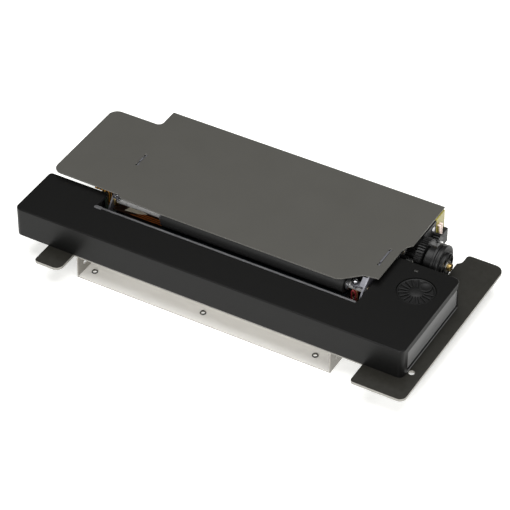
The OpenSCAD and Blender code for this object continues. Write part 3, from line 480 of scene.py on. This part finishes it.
# Several shapes gathered into one.
def gather(parts):
    whole = bmesh.new()
    for part in parts:
        mesh = bpy.data.meshes.new("working")
        part.to_mesh(mesh)
        part.free()
        whole.from_mesh(mesh)
        bpy.data.meshes.remove(mesh)
    return whole


# Black ABS off a polished tool: the ribs show only as a slightly different black.
dial_black, tree, shader = new_finish(
    "black_polished_abs", "#0e0e0e", 0.45, IOR=1.5, Specular_IOR_Level=0.22
)
mottle(tree, shader, "#0d0d0d", "#101010", grain=0.5, gloss=(0.45, 0.56), bump=0.1)
settle("finger_dial_knob", gather(dial_parts), dial_black, "feed_dial", smooth=40)


# ---------------------------------------------------------------- top plate
# One millimetre steel sheet, punched, then painted. Its slots drop over tabs of the side
# frames, and its right rear reaches over the motor.
SHEET_EDGE = 0.12
# Warm grey satin paint: very even, with the softest mottle of a sprayed coat.
plate_paint, tree, shader = new_finish(
    "warm_grey_satin_paint", "#454440", 0.46, IOR=1.5, Specular_IOR_Level=0.32
)
mottle(tree, shader, "#43423e", "#474642", grain=30, gloss=(0.44, 0.48))
settle("top_plate_sheet", bare_or_shaded_sides(broken_edges("top_plate", SHEET_EDGE)),
       [plate_paint, cut_steel], "top_plate")


# ---------------------------------------------------------------- side frames
# Steel sheet, folded and pierced, that carries the shafts; the leaf springs and the pinch
# lever's hangers are of the same strip.
# Zinc plating: a dull lilac grey with the rolled grain of the strip showing through.
zinc_sheet, tree, shader = new_finish("zinc_plated_sheet", "#77777c", 0.45, Metallic=0.85)
mottle(tree, shader, "#69696f", "#848489", grain=0.9, gloss=(0.4, 0.52), bump=0.1,
       stretch=(1, 0.15, 1))
for node in ("left_side_frame", "right_side_frame", "pinch_pivots", "sensor_springs"):
    settle(node + "_pressing", broken_edges(node, SHEET_EDGE), zinc_sheet, node)


# ---------------------------------------------------------------- guide strip
# Strip along the note slot, with a tongue folded over the bezel; notes rub its upper edge.
# The collars that fix the front roller on its shaft are of the same steel.
# Grey rolled steel: a mid-grey line with a fine lengthwise grain.
strip_steel, tree, shader = new_finish("grey_rolled_steel", "#77777a", 0.4, Metallic=0.9)
mottle(tree, shader, "#6b6b6d", "#838385", grain=1.2, gloss=(0.34, 0.46), bump=0.06,
       stretch=(0.1, 1, 1))
settle("note_guide_strip", broken_edges("guide_strip", 0.2, 3), strip_steel, "guide_strip")
settle("front_collar_rings", broken_edges("front_collars", 0.2, 2), strip_steel,
       "front_collars")


# ---------------------------------------------------------------- channel and tray
# Folded tinplate: the open channel under the bezel and, behind it, the tray that holds the
# main board.
# Tinplate gone cloudy: nearly white in the light, shading softly into the folds.
tinplate, tree, shader = new_finish("cloudy_tinplate", "#efede8", 0.5, Metallic=0.1)
mottle(tree, shader, "#e6e4df", "#f4f2ee", grain=6, gloss=(0.42, 0.56), bump=0.04,
       depth=0.03, stretch=(0.35, 1, 1))
# The same tinplate on its upright faces in a darker grey: painted shade, for the walls that
# stand in the bezel's shadow and mirror its dark underside.
shaded_tinplate, tree, shader = new_finish("tinplate_painted_shade", "#96938d", 0.45, Metallic=0.5)
mottle(tree, shader, "#7f7c76", "#aba8a2", grain=3, gloss=(0.4, 0.52), bump=0.06)
# The upright walls of the channel and the tray take the painted shade as their second finish.
settle("open_channel", bare_or_shaded_sides(broken_edges("lower_channel", SHEET_EDGE)),
       [tinplate, shaded_tinplate], "lower_channel")
settle("board_tray", bare_or_shaded_sides(broken_edges("base_tray", SHEET_EDGE)),
       [tinplate, shaded_tinplate], "base_tray")
# Dark grey collars drawn up round the three threaded holes: painted shade, dark rings that
# stand for the shadow inside the holes.
COLLAR_PROFILE = ((1.6, 0.3), (1.6, 1.1), (1.9, 1.2), (2.15, 0.9), (2.3, 0.3), (1.6, 0.3))
hole_shade_steel, tree, shader = new_finish("hole_painted_shade", "#3b3935", 0.6, Metallic=0.5)
mottle(tree, shader, "#2f2d2a", "#474541", grain=0.6, gloss=(0.54, 0.68))
hole_row = next(m for m in frame["record"]["mounts"] if m["name"] == "channel_holes")
hole_spacing = hole_row["dims"]["spacing_x_mm"]
row_middle = Vector(hole_row["pos_m"]) / MM
collars = [
    turned(COLLAR_PROFILE, row_middle + Vector((side * hole_spacing / 2, 0, 0)), steps=40)
    for side in (-1, 0, 1)
]
settle("channel_hole_shade_collars", gather(collars), hole_shade_steel, "lower_channel", replaces=False)


# ---------------------------------------------------------------- black mouldings
# Note guides, sensor housing, pinch lever, motor connector and board chips: moulded pieces
# that clip or screw between the side frames, or stand on a board.
# Glass-filled black plastic: dull, with a slightly greyer bloom on its skin.
guide_black, tree, shader = new_finish("black_filled_plastic", "#191919", 0.55, IOR=1.5)
mottle(tree, shader, "#161616", "#1d1d1d", grain=0.8, gloss=(0.5, 0.62), bump=0.15)
for node, radius in (("floor_guide", 0.3), ("exit_guide", 0.25), ("upper_guide", 0.3),
                     ("sensor_bar", 0.4), ("motor_connector", 0.4), ("pinch_arm", 0.25),
                     ("board_chips", 0.2)):
    settle(node + "_moulding", broken_edges(node, radius, 2), guide_black, node)


# ---------------------------------------------------------------- sensor window
# Glass cover that the note slides over below the front roller. It is cut and ground flat,
# and glued into the sensor's housing.
# Coated glass: blue-black and shiny.
sensor_glass, tree, shader = new_finish("sensor_cover_glass", "#1a2024", 0.1, IOR=1.52)
mottle(tree, shader, "#171c20", "#1e2529", grain=12, gloss=(0.08, 0.13))
settle("sensor_window", broken_edges("sensor_glass", 0.15, 2), sensor_glass, "sensor_glass")


# ---------------------------------------------------------------- rollers
# Rubber ground to size on its shaft, with an edge broken at each end, and the moulded
# tyres of the sprung pinch rollers below.
# Nitrile rubber: matt black, with the fine rings of the grinding wheel.
rubber, tree, shader = new_finish("ground_nitrile_rubber", "#1b1b1a", 0.62, IOR=1.5)
mottle(tree, shader, "#181817", "#1f1f1e", grain=0.5, gloss=(0.56, 0.68), bump=0.2,
       stretch=(3, 1, 1))
settle("front_rubber_roller", broken_edges("front_roller", 0.5, 3), rubber, "front_roller")
settle("rear_rubber_rollers", broken_edges("rear_rollers", 0.4, 3), rubber, "rear_rollers")
# Ivory acetal: warm off-white with a waxy sheen.
pinch_ivory, tree, shader = new_finish("ivory_acetal", "#e2ddd0", 0.38, IOR=1.48,
                                       Subsurface_Weight=0.05)
mottle(tree, shader, "#ddd8ca", "#e7e3d8", grain=2.0, gloss=(0.34, 0.42))
settle("pinch_roller_tyres", broken_edges("pinch_rollers", 0.5, 3), pinch_ivory,
       "pinch_rollers")


# ---------------------------------------------------------------- shafts and posts
# Bright drawn bar for the shafts, and the posts that the idler gears and the dial turn on,
# riveted to the right side frame.
# Ground steel: the brightest metal here, one thin highlight along each shaft.
ground_steel, tree, shader = new_finish("ground_shaft_steel", "#d8d8d6", 0.3, Metallic=0.6)
mottle(tree, shader, "#d0d0ce", "#dededc", grain=4.0, gloss=(0.27, 0.33))
for node in ("front_shaft", "rear_shaft", "pinch_shaft", "motor_shaft", "gear_posts",
             "dial_post"):
    settle(node + "_steel", broken_edges(node, 0.3, 2), ground_steel, node)


# ---------------------------------------------------------------- clips and spacers
# Retaining clips stamped from spring strip, the washer under the shaft screw and the control
# board's spacers.
# Spring steel: grey and a little shinier than the zinc.
spring_steel, tree, shader = new_finish("spring_steel", "#a3a3a0", 0.32, Metallic=1.0)
mottle(tree, shader, "#959592", "#b0b0ad", grain=0.7, gloss=(0.26, 0.38))
for node in ("front_clips", "rear_clip", "post_clips", "shaft_washer", "control_spacers"):
    settle(node + "_steel", broken_edges(node, 0.1, 2), spring_steel, node)


# ---------------------------------------------------------------- gears
# Injection-moulded spur gears, the clutch drum on the rear shaft and the motor's pinion.
# Black acetal: an even, slightly greasy gloss that picks out the tips of the teeth.
acetal, tree, shader = new_finish(
    "black_acetal", "#101010", 0.38, IOR=1.48, Specular_IOR_Level=0.3
)
mottle(tree, shader, "#0e0e0e", "#131313", grain=0.9, gloss=(0.32, 0.44), bump=0.08)
for node, radius in (("front_gear", 0.08), ("dial_idler_gear", 0.08),
                     ("front_idler_gear", 0.08), ("rear_idler_gear", 0.08),
                     ("reduction_gear", 0.1), ("motor_pinion", 0.08), ("clutch_drum", 0.35)):
    settle(node + "_acetal", broken_edges(node, radius, 2), acetal, node)


# ---------------------------------------------------------------- brass pieces
# Bushes pressed into the side frames, stand-offs under the main board, and the slotted screw
# at the end of the rear shaft, all turned from bar.
# Turned brass: a small warm glint among the black gears.
brass, tree, shader = new_finish("turned_brass", "#b39a62", 0.34, Metallic=1.0)
mottle(tree, shader, "#a58c55", "#bfa66f", grain=0.5, gloss=(0.24, 0.38), bump=0.05,
       depth=0.01, stretch=(3, 1, 1))
for node, radius in (("shaft_bushes", 0.15), ("board_standoffs", 0.2), ("shaft_screw", 0.35)):
    settle(node + "_brass", broken_edges(node, radius, 2), brass, node)


# ---------------------------------------------------------------- motor
# Square motor on a folded bracket, wound at its rear with insulating tape; two leads loop
# from it down into its connector.
# Black stove enamel: satin, on the motor's can and its bracket alike.
motor_black, tree, shader = new_finish("black_stove_enamel", "#1b1b1b", 0.44, IOR=1.5)
mottle(tree, shader, "#181818", "#1f1f1f", grain=1.0, gloss=(0.38, 0.5), bump=0.08)
settle("motor_can", broken_edges("motor_body", 1.0, 4), motor_black, "motor_body")
settle("motor_bracket_pressing", broken_edges("motor_bracket", SHEET_EDGE), motor_black,
       "motor_bracket")
# Polyester tape: a greenish yellow, shiny where it lies flat and dull where it wrinkles.
yellow_tape, tree, shader = new_finish("yellow_polyester_tape", "#8d8430", 0.35, IOR=1.6)
mottle(tree, shader, "#7c732a", "#9c9338", grain=6, gloss=(0.28, 0.42), bump=0.15,
       depth=0.06, stretch=(1, 1, 0.3))
settle("motor_tape_wrap", broken_edges("motor_tape", 0.5, 3), yellow_tape, "motor_tape")
# Silicone insulation: pinkish white and softly glossy, partly the leads' own colour and partly
# a painted highlight, the bright pinkish glint beside the motor.
lead_glint_silicone, tree, shader = new_finish("pinkish_silicone_painted_glint", "#e6d3cc", 0.4, IOR=1.43)
mottle(tree, shader, "#e0ccc4", "#ecdad3", grain=2.0, gloss=(0.36, 0.46))
settle("motor_lead_pair", broken_edges("motor_leads", 0.1, 2), lead_glint_silicone, "motor_leads")


# ---------------------------------------------------------------- screws
# Pan heads with a cross recess: two hold the cover beside the roller, the rest hold the
# main board and the motor.
HEAD_RADIUS = 2.2
HEAD_HEIGHT = 2.6
HEAD_TURNS = (0.4, 1.1)
HEAD_SEAT = 3.0
SHANK_RADIUS = 1.45
# Bright zinc plate: small sharp highlights on the domed heads.
zinc_screw, tree, shader = new_finish("bright_zinc_plate", "#a2a2a5", 0.3, Metallic=1.0)
mottle(tree, shader, "#96969a", "#aeaeb1", grain=0.5, gloss=(0.2, 0.32))
cover_low, cover_high = corners("cover_screws")
head_foot = cover_high.z - HEAD_SEAT
shank_depth = head_foot - cover_low.z
heads = []
for x, twist in zip((cover_low.x + HEAD_RADIUS, cover_high.x - HEAD_RADIUS), HEAD_TURNS):
    head = turned(
        [(0, HEAD_HEIGHT), (HEAD_RADIUS * 0.45, HEAD_HEIGHT * 0.97),
         (HEAD_RADIUS * 0.78, HEAD_HEIGHT * 0.82), (HEAD_RADIUS * 0.95, HEAD_HEIGHT * 0.5),
         (HEAD_RADIUS, HEAD_HEIGHT * 0.15), (HEAD_RADIUS, 0), (SHANK_RADIUS, 0),
         (SHANK_RADIUS, -shank_depth + 0.4), (1.1, -shank_depth), (0, -shank_depth)],
        (0, 0, 0), steps=36,
    )
    arm = HEAD_RADIUS * 0.55
    half = HEAD_RADIUS * 0.12
    head = cut(head, [
        box_shape((-arm, -half, HEAD_HEIGHT * 0.45), (arm, half, HEAD_HEIGHT + 1)),
        box_shape((-half, -arm, HEAD_HEIGHT * 0.45), (half, arm, HEAD_HEIGHT + 1)),
    ])
    bmesh.ops.transform(
        head, verts=head.verts,
        matrix=Matrix.Translation((x, (cover_low.y + cover_high.y) / 2, head_foot))
        @ Matrix.Rotation(twist, 4, "Z"),
    )
    heads.append(head)
settle("cover_screw_heads", gather(heads), zinc_screw, "cover_screws", smooth=35)
for node in ("tray_screws", "motor_screws"):
    settle(node + "_zinc", broken_edges(node, 0.25, 2), zinc_screw, node)


# ---------------------------------------------------------------- boards and connectors
# Glass-epoxy boards under solder mask; their connectors are moulded in ivory nylon.
# Green solder mask: glossy, with a regular maze of slightly lighter tracks.
solder_mask, tree, shader = new_finish("green_solder_mask", "#12402a", 0.3, IOR=1.5)
tracks = add(
    tree, "ShaderNodeTexBrick",
    {"Vector": add(tree, "ShaderNodeTexCoord").outputs["Object"]},
    {"Scale": 1 / (6 * MM), "Mortar Size": 0.06, "Brick Width": 0.9, "Row Height": 0.35,
     "Color1": linear("#12402a"), "Color2": linear("#164a31"), "Mortar": linear("#1f6442")},
)
tree.links.new(tracks.outputs["Color"], shader.inputs["Base Color"])
for node in ("main_board", "control_board", "indicator_board"):
    settle(node + "_epoxy", broken_edges(node, SHEET_EDGE), solder_mask, node)
# Ivory nylon: warm and softly glossy.
nylon, tree, shader = new_finish("ivory_nylon", "#ddd8c9", 0.42, IOR=1.53)
mottle(tree, shader, "#d7d2c2", "#e4dfd2", grain=2.0, gloss=(0.38, 0.48))
for node in ("board_connectors", "control_connector"):
    settle(node + "_nylon", broken_edges(node, 0.3, 2), nylon, node)


# ---------------------------------------------------------------- flexible ribbon
# Printed film from the sensor out through the left frame, folded up and back under the top
# plate. Its tracks show where it folds and where they fan out, beside a cream patch of painted
# glare.
RIBBON_WIDTH = 7.8
RIBBON_THICKNESS = 0.25
TRACK_PITCH = 2.4
ribbon_high = corners("flex_ribbon")[1]
frame_low = corners("left_side_frame")[0]
glass_high = corners("sensor_glass")[1]
roller_low, roller_high = corners("front_roller")
ribbon_z = glass_high.z + 0.6
near = (roller_low.y + roller_high.y) / 2 - 3.6
far = near + RIBBON_WIDTH


# A thin strip between two Y lines along an (x, z) route.
def film(route, near, far, thickness):
    shape = bmesh.new()
    across = [shape.verts.new((route[0][0], y, route[0][1])) for y in (near, far)]
    rung = [shape.edges.new(across)]
    for (x0, z0), (x1, z1) in zip(route, route[1:]):
        made = bmesh.ops.extrude_edge_only(shape, edges=rung)["geom"]
        rung = [g for g in made if isinstance(g, bmesh.types.BMEdge)]
        bmesh.ops.translate(
            shape, vec=(x1 - x0, 0, z1 - z0),
            verts=[g for g in made if isinstance(g, bmesh.types.BMVert)],
        )
    bmesh.ops.recalc_face_normals(shape, faces=shape.faces)
    bmesh.ops.solidify(shape, geom=shape.faces[:], thickness=thickness)
    return shape


# Rounds a route's corners by cutting each corner three times.
def eased(route):
    for _ in range(3):
        softer = [route[0]]
        for (x0, z0), (x1, z1) in zip(route, route[1:]):
            softer.append((x0 * 0.75 + x1 * 0.25, z0 * 0.75 + z1 * 0.25))
            softer.append((x0 * 0.25 + x1 * 0.75, z0 * 0.25 + z1 * 0.75))
        route = softer + [route[-1]]
    return route


fold_end = frame_low.x - 0.4
fold_z = bezel_high.z - 0.7
fold_route = eased([
    (frame_low.x - 15, fold_z), (frame_low.x - 6, fold_z),
    (frame_low.x - 4.4, fold_z - 1), (frame_low.x - 4.2, ribbon_z + 8),
    (frame_low.x - 4.2, ribbon_z + 1.5), (frame_low.x - 2.8, ribbon_z), (fold_end, ribbon_z),
])
# Amber polyimide over copper: golden tracks with dark film between them, which run along the
# ribbon, and to the rear once it is folded over.
film_finishes = []
for film_name, bands in (("amber_polyimide", "Y"), ("amber_polyimide_turned", "X")):
    polyimide, tree, shader = new_finish(film_name, "#7a4516", 0.28, IOR=1.7)
    waves = add(
        tree, "ShaderNodeTexWave",
        {"Vector": add(tree, "ShaderNodeTexCoord").outputs["Object"]},
        {"Scale": math.tau / (20 * TRACK_PITCH * MM), "Distortion": 0.0},
        wave_type="BANDS", bands_direction=bands,
    )
    ramp = add(tree, "ShaderNodeValToRGB", {"Fac": waves.outputs["Fac"]})
    ramp.color_ramp.elements[0].position = 0.4
    ramp.color_ramp.elements[0].color = linear("#2e1c0e")
    ramp.color_ramp.elements[1].position = 0.7
    ramp.color_ramp.elements[1].color = linear("#c8903a")
    tree.links.new(ramp.outputs["Color"], shader.inputs["Base Color"])
    film_finishes.append(polyimide)
# Dark polyimide: the covered run, a brown film darkened nearly to black as painted shade, for
# the shadow under the shaft and the plate.
shaded_run_film, tree, shader = new_finish("brown_polyimide_painted_shade", "#2c1b12", 0.35, IOR=1.6)
mottle(tree, shader, "#24160f", "#352116", grain=2.0, gloss=(0.3, 0.42))
# Bare copper tracks under clear film: a strong orange-brown.
copper_film, tree, shader = new_finish("copper_under_film", "#b8642a", 0.35, IOR=1.6)
mottle(tree, shader, "#a4521d", "#cc7636", grain=1.5, gloss=(0.3, 0.42))
# Cream patch on the run: a painted highlight, the glare off the ribbon, and the one pale patch
# in the slot.
cream_glare_patch, tree, shader = new_finish("cream_painted_glare", "#e9e0c8", 0.4, IOR=1.55)
mottle(tree, shader, "#e2d8bf", "#f0e8d4", grain=3.0, gloss=(0.36, 0.46))
settle("ribbon_fold", film(fold_route, near, far, RIBBON_THICKNESS), film_finishes[0],
       "flex_ribbon")
# The turned end lies on the fold and climbs to the CAD ribbon's height at its rear.
turned_film = box_shape(
    (frame_low.x - 15, near - 0.3, fold_z - 0.05),
    (frame_low.x - 5.6, ribbon_high.y, fold_z + 0.2),
)
for corner in turned_film.verts:
    if corner.co.y > far:
        corner.co.z += ribbon_high.z - fold_z - 0.3
settle("ribbon_turned_end", turned_film, film_finishes[1], "flex_ribbon", replaces=False)
# The run under the roller, in the brown film that carries the painted shade.
settle("ribbon_run",
       film([(fold_end, ribbon_z), (roller_low.x - 1, ribbon_z)], near, far,
            RIBBON_THICKNESS),
       shaded_run_film, "flex_ribbon", replaces=False)
track_start = frame_low.x + 13
track_parts = []
for index in range(3):
    y = near + 0.5 + index * 1.7
    x = track_start + index * 3
    track_parts.append(prism(
        [(x, y), (roller_low.x - 1.2, y), (roller_low.x - 1.2, y + 0.9),
         (x + 3, y + 0.9)],
        ribbon_z + 0.02, ribbon_z + 0.12,
    ))
settle("ribbon_tracks", gather(track_parts), copper_film, "flex_ribbon", replaces=False)
# A thin cream plate on the run, carrying the painted glare.
glare_patch = prism(
    [(frame_low.x + 7.5, near + 2.4), (frame_low.x + 18, near + 3.4),
     (frame_low.x + 23.5, near + 6.0), (frame_low.x + 10, far + 0.1)],
    ribbon_z + 0.05, ribbon_z + 0.35,
)
settle("ribbon_glare_patch", glare_patch, cream_glare_patch, "flex_ribbon", replaces=False)


# ---------------------------------------------------------------- sensor wires
# Three stranded wires that arch up beside the sensor and crimp into a small white plug.
WIRE_RADIUS = 0.6
WIRE_PITCH = 1.6
WIRES = (("crimson_pvc", "#b03a40"), ("tan_pvc", "#dc9c70"), ("brown_pvc", "#8a3c26"))
wires_low, wires_high = corners("sensor_wires")
# Soft PVC insulation, each wire in its own colour: three small warm arcs at the slot's end.
wire_finishes = []
for pvc_name, colour in WIRES:
    pvc, tree, shader = new_finish(pvc_name, colour, 0.38, IOR=1.53)
    mottle(tree, shader, colour, colour, grain=1.0, gloss=(0.34, 0.44), bump=0.05)
    wire_finishes.append(pvc)
plug_x = wires_low.x + 1.0
board_side_x = wires_high.x - WIRE_RADIUS
wire_middle_y = (wires_low.y + wires_high.y) / 2


# A tube of round section along points.
def tube(points, radius, sides=12):
    shape = bmesh.new()
    previous = None
    for index, point in enumerate(points):
        before = points[max(index - 1, 0)]
        after = points[min(index + 1, len(points) - 1)]
        along = (Vector(after) - Vector(before)).normalized()
        ring = bmesh.ops.create_circle(
            shape, cap_ends=False, segments=sides, radius=radius,
            matrix=Matrix.Translation(point)
            @ along.to_track_quat("Z", "Y").to_matrix().to_4x4(),
        )["verts"]
        edges = list({e for v in ring for e in v.link_edges})
        if previous:
            bmesh.ops.bridge_loops(shape, edges=previous + edges)
        previous = edges
    bmesh.ops.holes_fill(shape, edges=[e for e in shape.edges if e.is_boundary], sides=0)
    bmesh.ops.recalc_face_normals(shape, faces=shape.faces)
    return shape


ARCH_STEPS = 8
wire_parts = []
for index in range(len(WIRES)):
    offset = index - 1
    y = wire_middle_y + offset * WIRE_PITCH
    arch = [(board_side_x, y, wires_low.z), (board_side_x, y, wires_high.z - 4)]
    for step in range(ARCH_STEPS + 1):
        angle = math.pi * step / ARCH_STEPS
        arch.append((
            (plug_x + board_side_x) / 2 + (board_side_x - plug_x) / 2 * math.cos(angle),
            y + 0.5 * math.sin(angle) * offset,
            wires_high.z - 1.6 + 2.8 * math.sin(angle),
        ))
    arch.append((plug_x, y, wires_high.z - 8))
    strand = tube(arch, WIRE_RADIUS)
    for face in strand.faces:
        face.material_index = index
    wire_parts.append(strand)
settle("sensor_wire_set", gather(wire_parts), wire_finishes, "sensor_wires")
plug = box_shape((plug_x - 1, wires_low.y, glass_high.z - 8.7),
                 (plug_x + 1, wires_high.y, glass_high.z - 3.7), 0.2, 2)
settle("sensor_wire_plug", plug, nylon, "sensor_wires", replaces=False)


# ---------------------------------------------------------------- studio
# Plain white table lit softly from below, one broad softbox straight above and two weaker
# ones at the sides, in a dim room, so that level black surfaces stay black.
WORLD_STRENGTH = 0.14
FLOOR_GAP = 0.0002
floor_shape = bmesh.new()
bmesh.ops.create_grid(floor_shape, x_segments=1, y_segments=1, size=4.0)
floor_mesh = bpy.data.meshes.new("floor")
floor_shape.to_mesh(floor_mesh)
floor_shape.free()
# Opal acrylic lit from below: white all over, so that nothing casts a hard shadow on it.
floor_finish, tree, shader = new_finish(
    "lit_opal_acrylic", "#f0f0ee", 0.9, Emission_Color=linear("#fdfdfa"),
    Emission_Strength=0.45,
)
floor_mesh.materials.append(floor_finish)
floor = bpy.data.objects.new("floor", floor_mesh)
floor.location.z = cad_box[0][2] - FLOOR_GAP
bpy.context.scene.collection.objects.link(floor)

world = bpy.data.worlds.new("studio")
bpy.context.scene.world = world
world.use_nodes = True
backdrop = world.node_tree.nodes["Background"]
backdrop.inputs["Color"].default_value = linear("#f2f2f0")
backdrop.inputs["Strength"].default_value = WORLD_STRENGTH


# A square soft light of the given side that faces the object.
def soft_light(name, place, side, watts):
    data = bpy.data.lights.new(name, "AREA")
    data.shape = "SQUARE"
    data.size = side
    data.energy = watts
    made = bpy.data.objects.new(name, data)
    made.location = place
    made.rotation_euler = Vector(place).to_track_quat("Z", "Y").to_euler()
    bpy.context.scene.collection.objects.link(made)


soft_light("overhead_softbox", (0.0, 0.0, 1.8), 1.8, 40)
soft_light("front_fill", (0.3, -1.7, 0.8), 1.0, 30)
soft_light("side_fill", (1.7, 0.1, 0.7), 1.0, 12)


# ---------------------------------------------------------------- camera
# A long lens from the right front, about forty degrees above the bench, as a catalogue shows
# such a unit. It aims at a point behind the middle of the bezel's front.
CAMERA_AZIMUTH = math.radians(29.73)
CAMERA_ELEVATION = math.radians(40.05)
CAMERA_DISTANCE = 1.8006
CAMERA_LENS = 185.5
camera_aim = Vector((bezel_high.x - 143.1, bezel_low.y + 57.71, bezel_low.z + 3.9)) * MM
camera_back = Vector((
    math.sin(CAMERA_AZIMUTH) * math.cos(CAMERA_ELEVATION),
    -math.cos(CAMERA_AZIMUTH) * math.cos(CAMERA_ELEVATION),
    math.sin(CAMERA_ELEVATION),
))
camera = bpy.data.objects.new("camera", bpy.data.cameras.new("camera"))
bpy.context.scene.collection.objects.link(camera)
camera.data.lens = CAMERA_LENS
camera.data.sensor_width = 36.0
camera.data.clip_start = 0.05
camera.location = camera_aim + camera_back * CAMERA_DISTANCE
camera.rotation_euler = (math.pi / 2 - CAMERA_ELEVATION, 0, CAMERA_AZIMUTH)
bpy.context.scene.camera = camera
bpy.context.scene.view_settings.view_transform = "Standard"
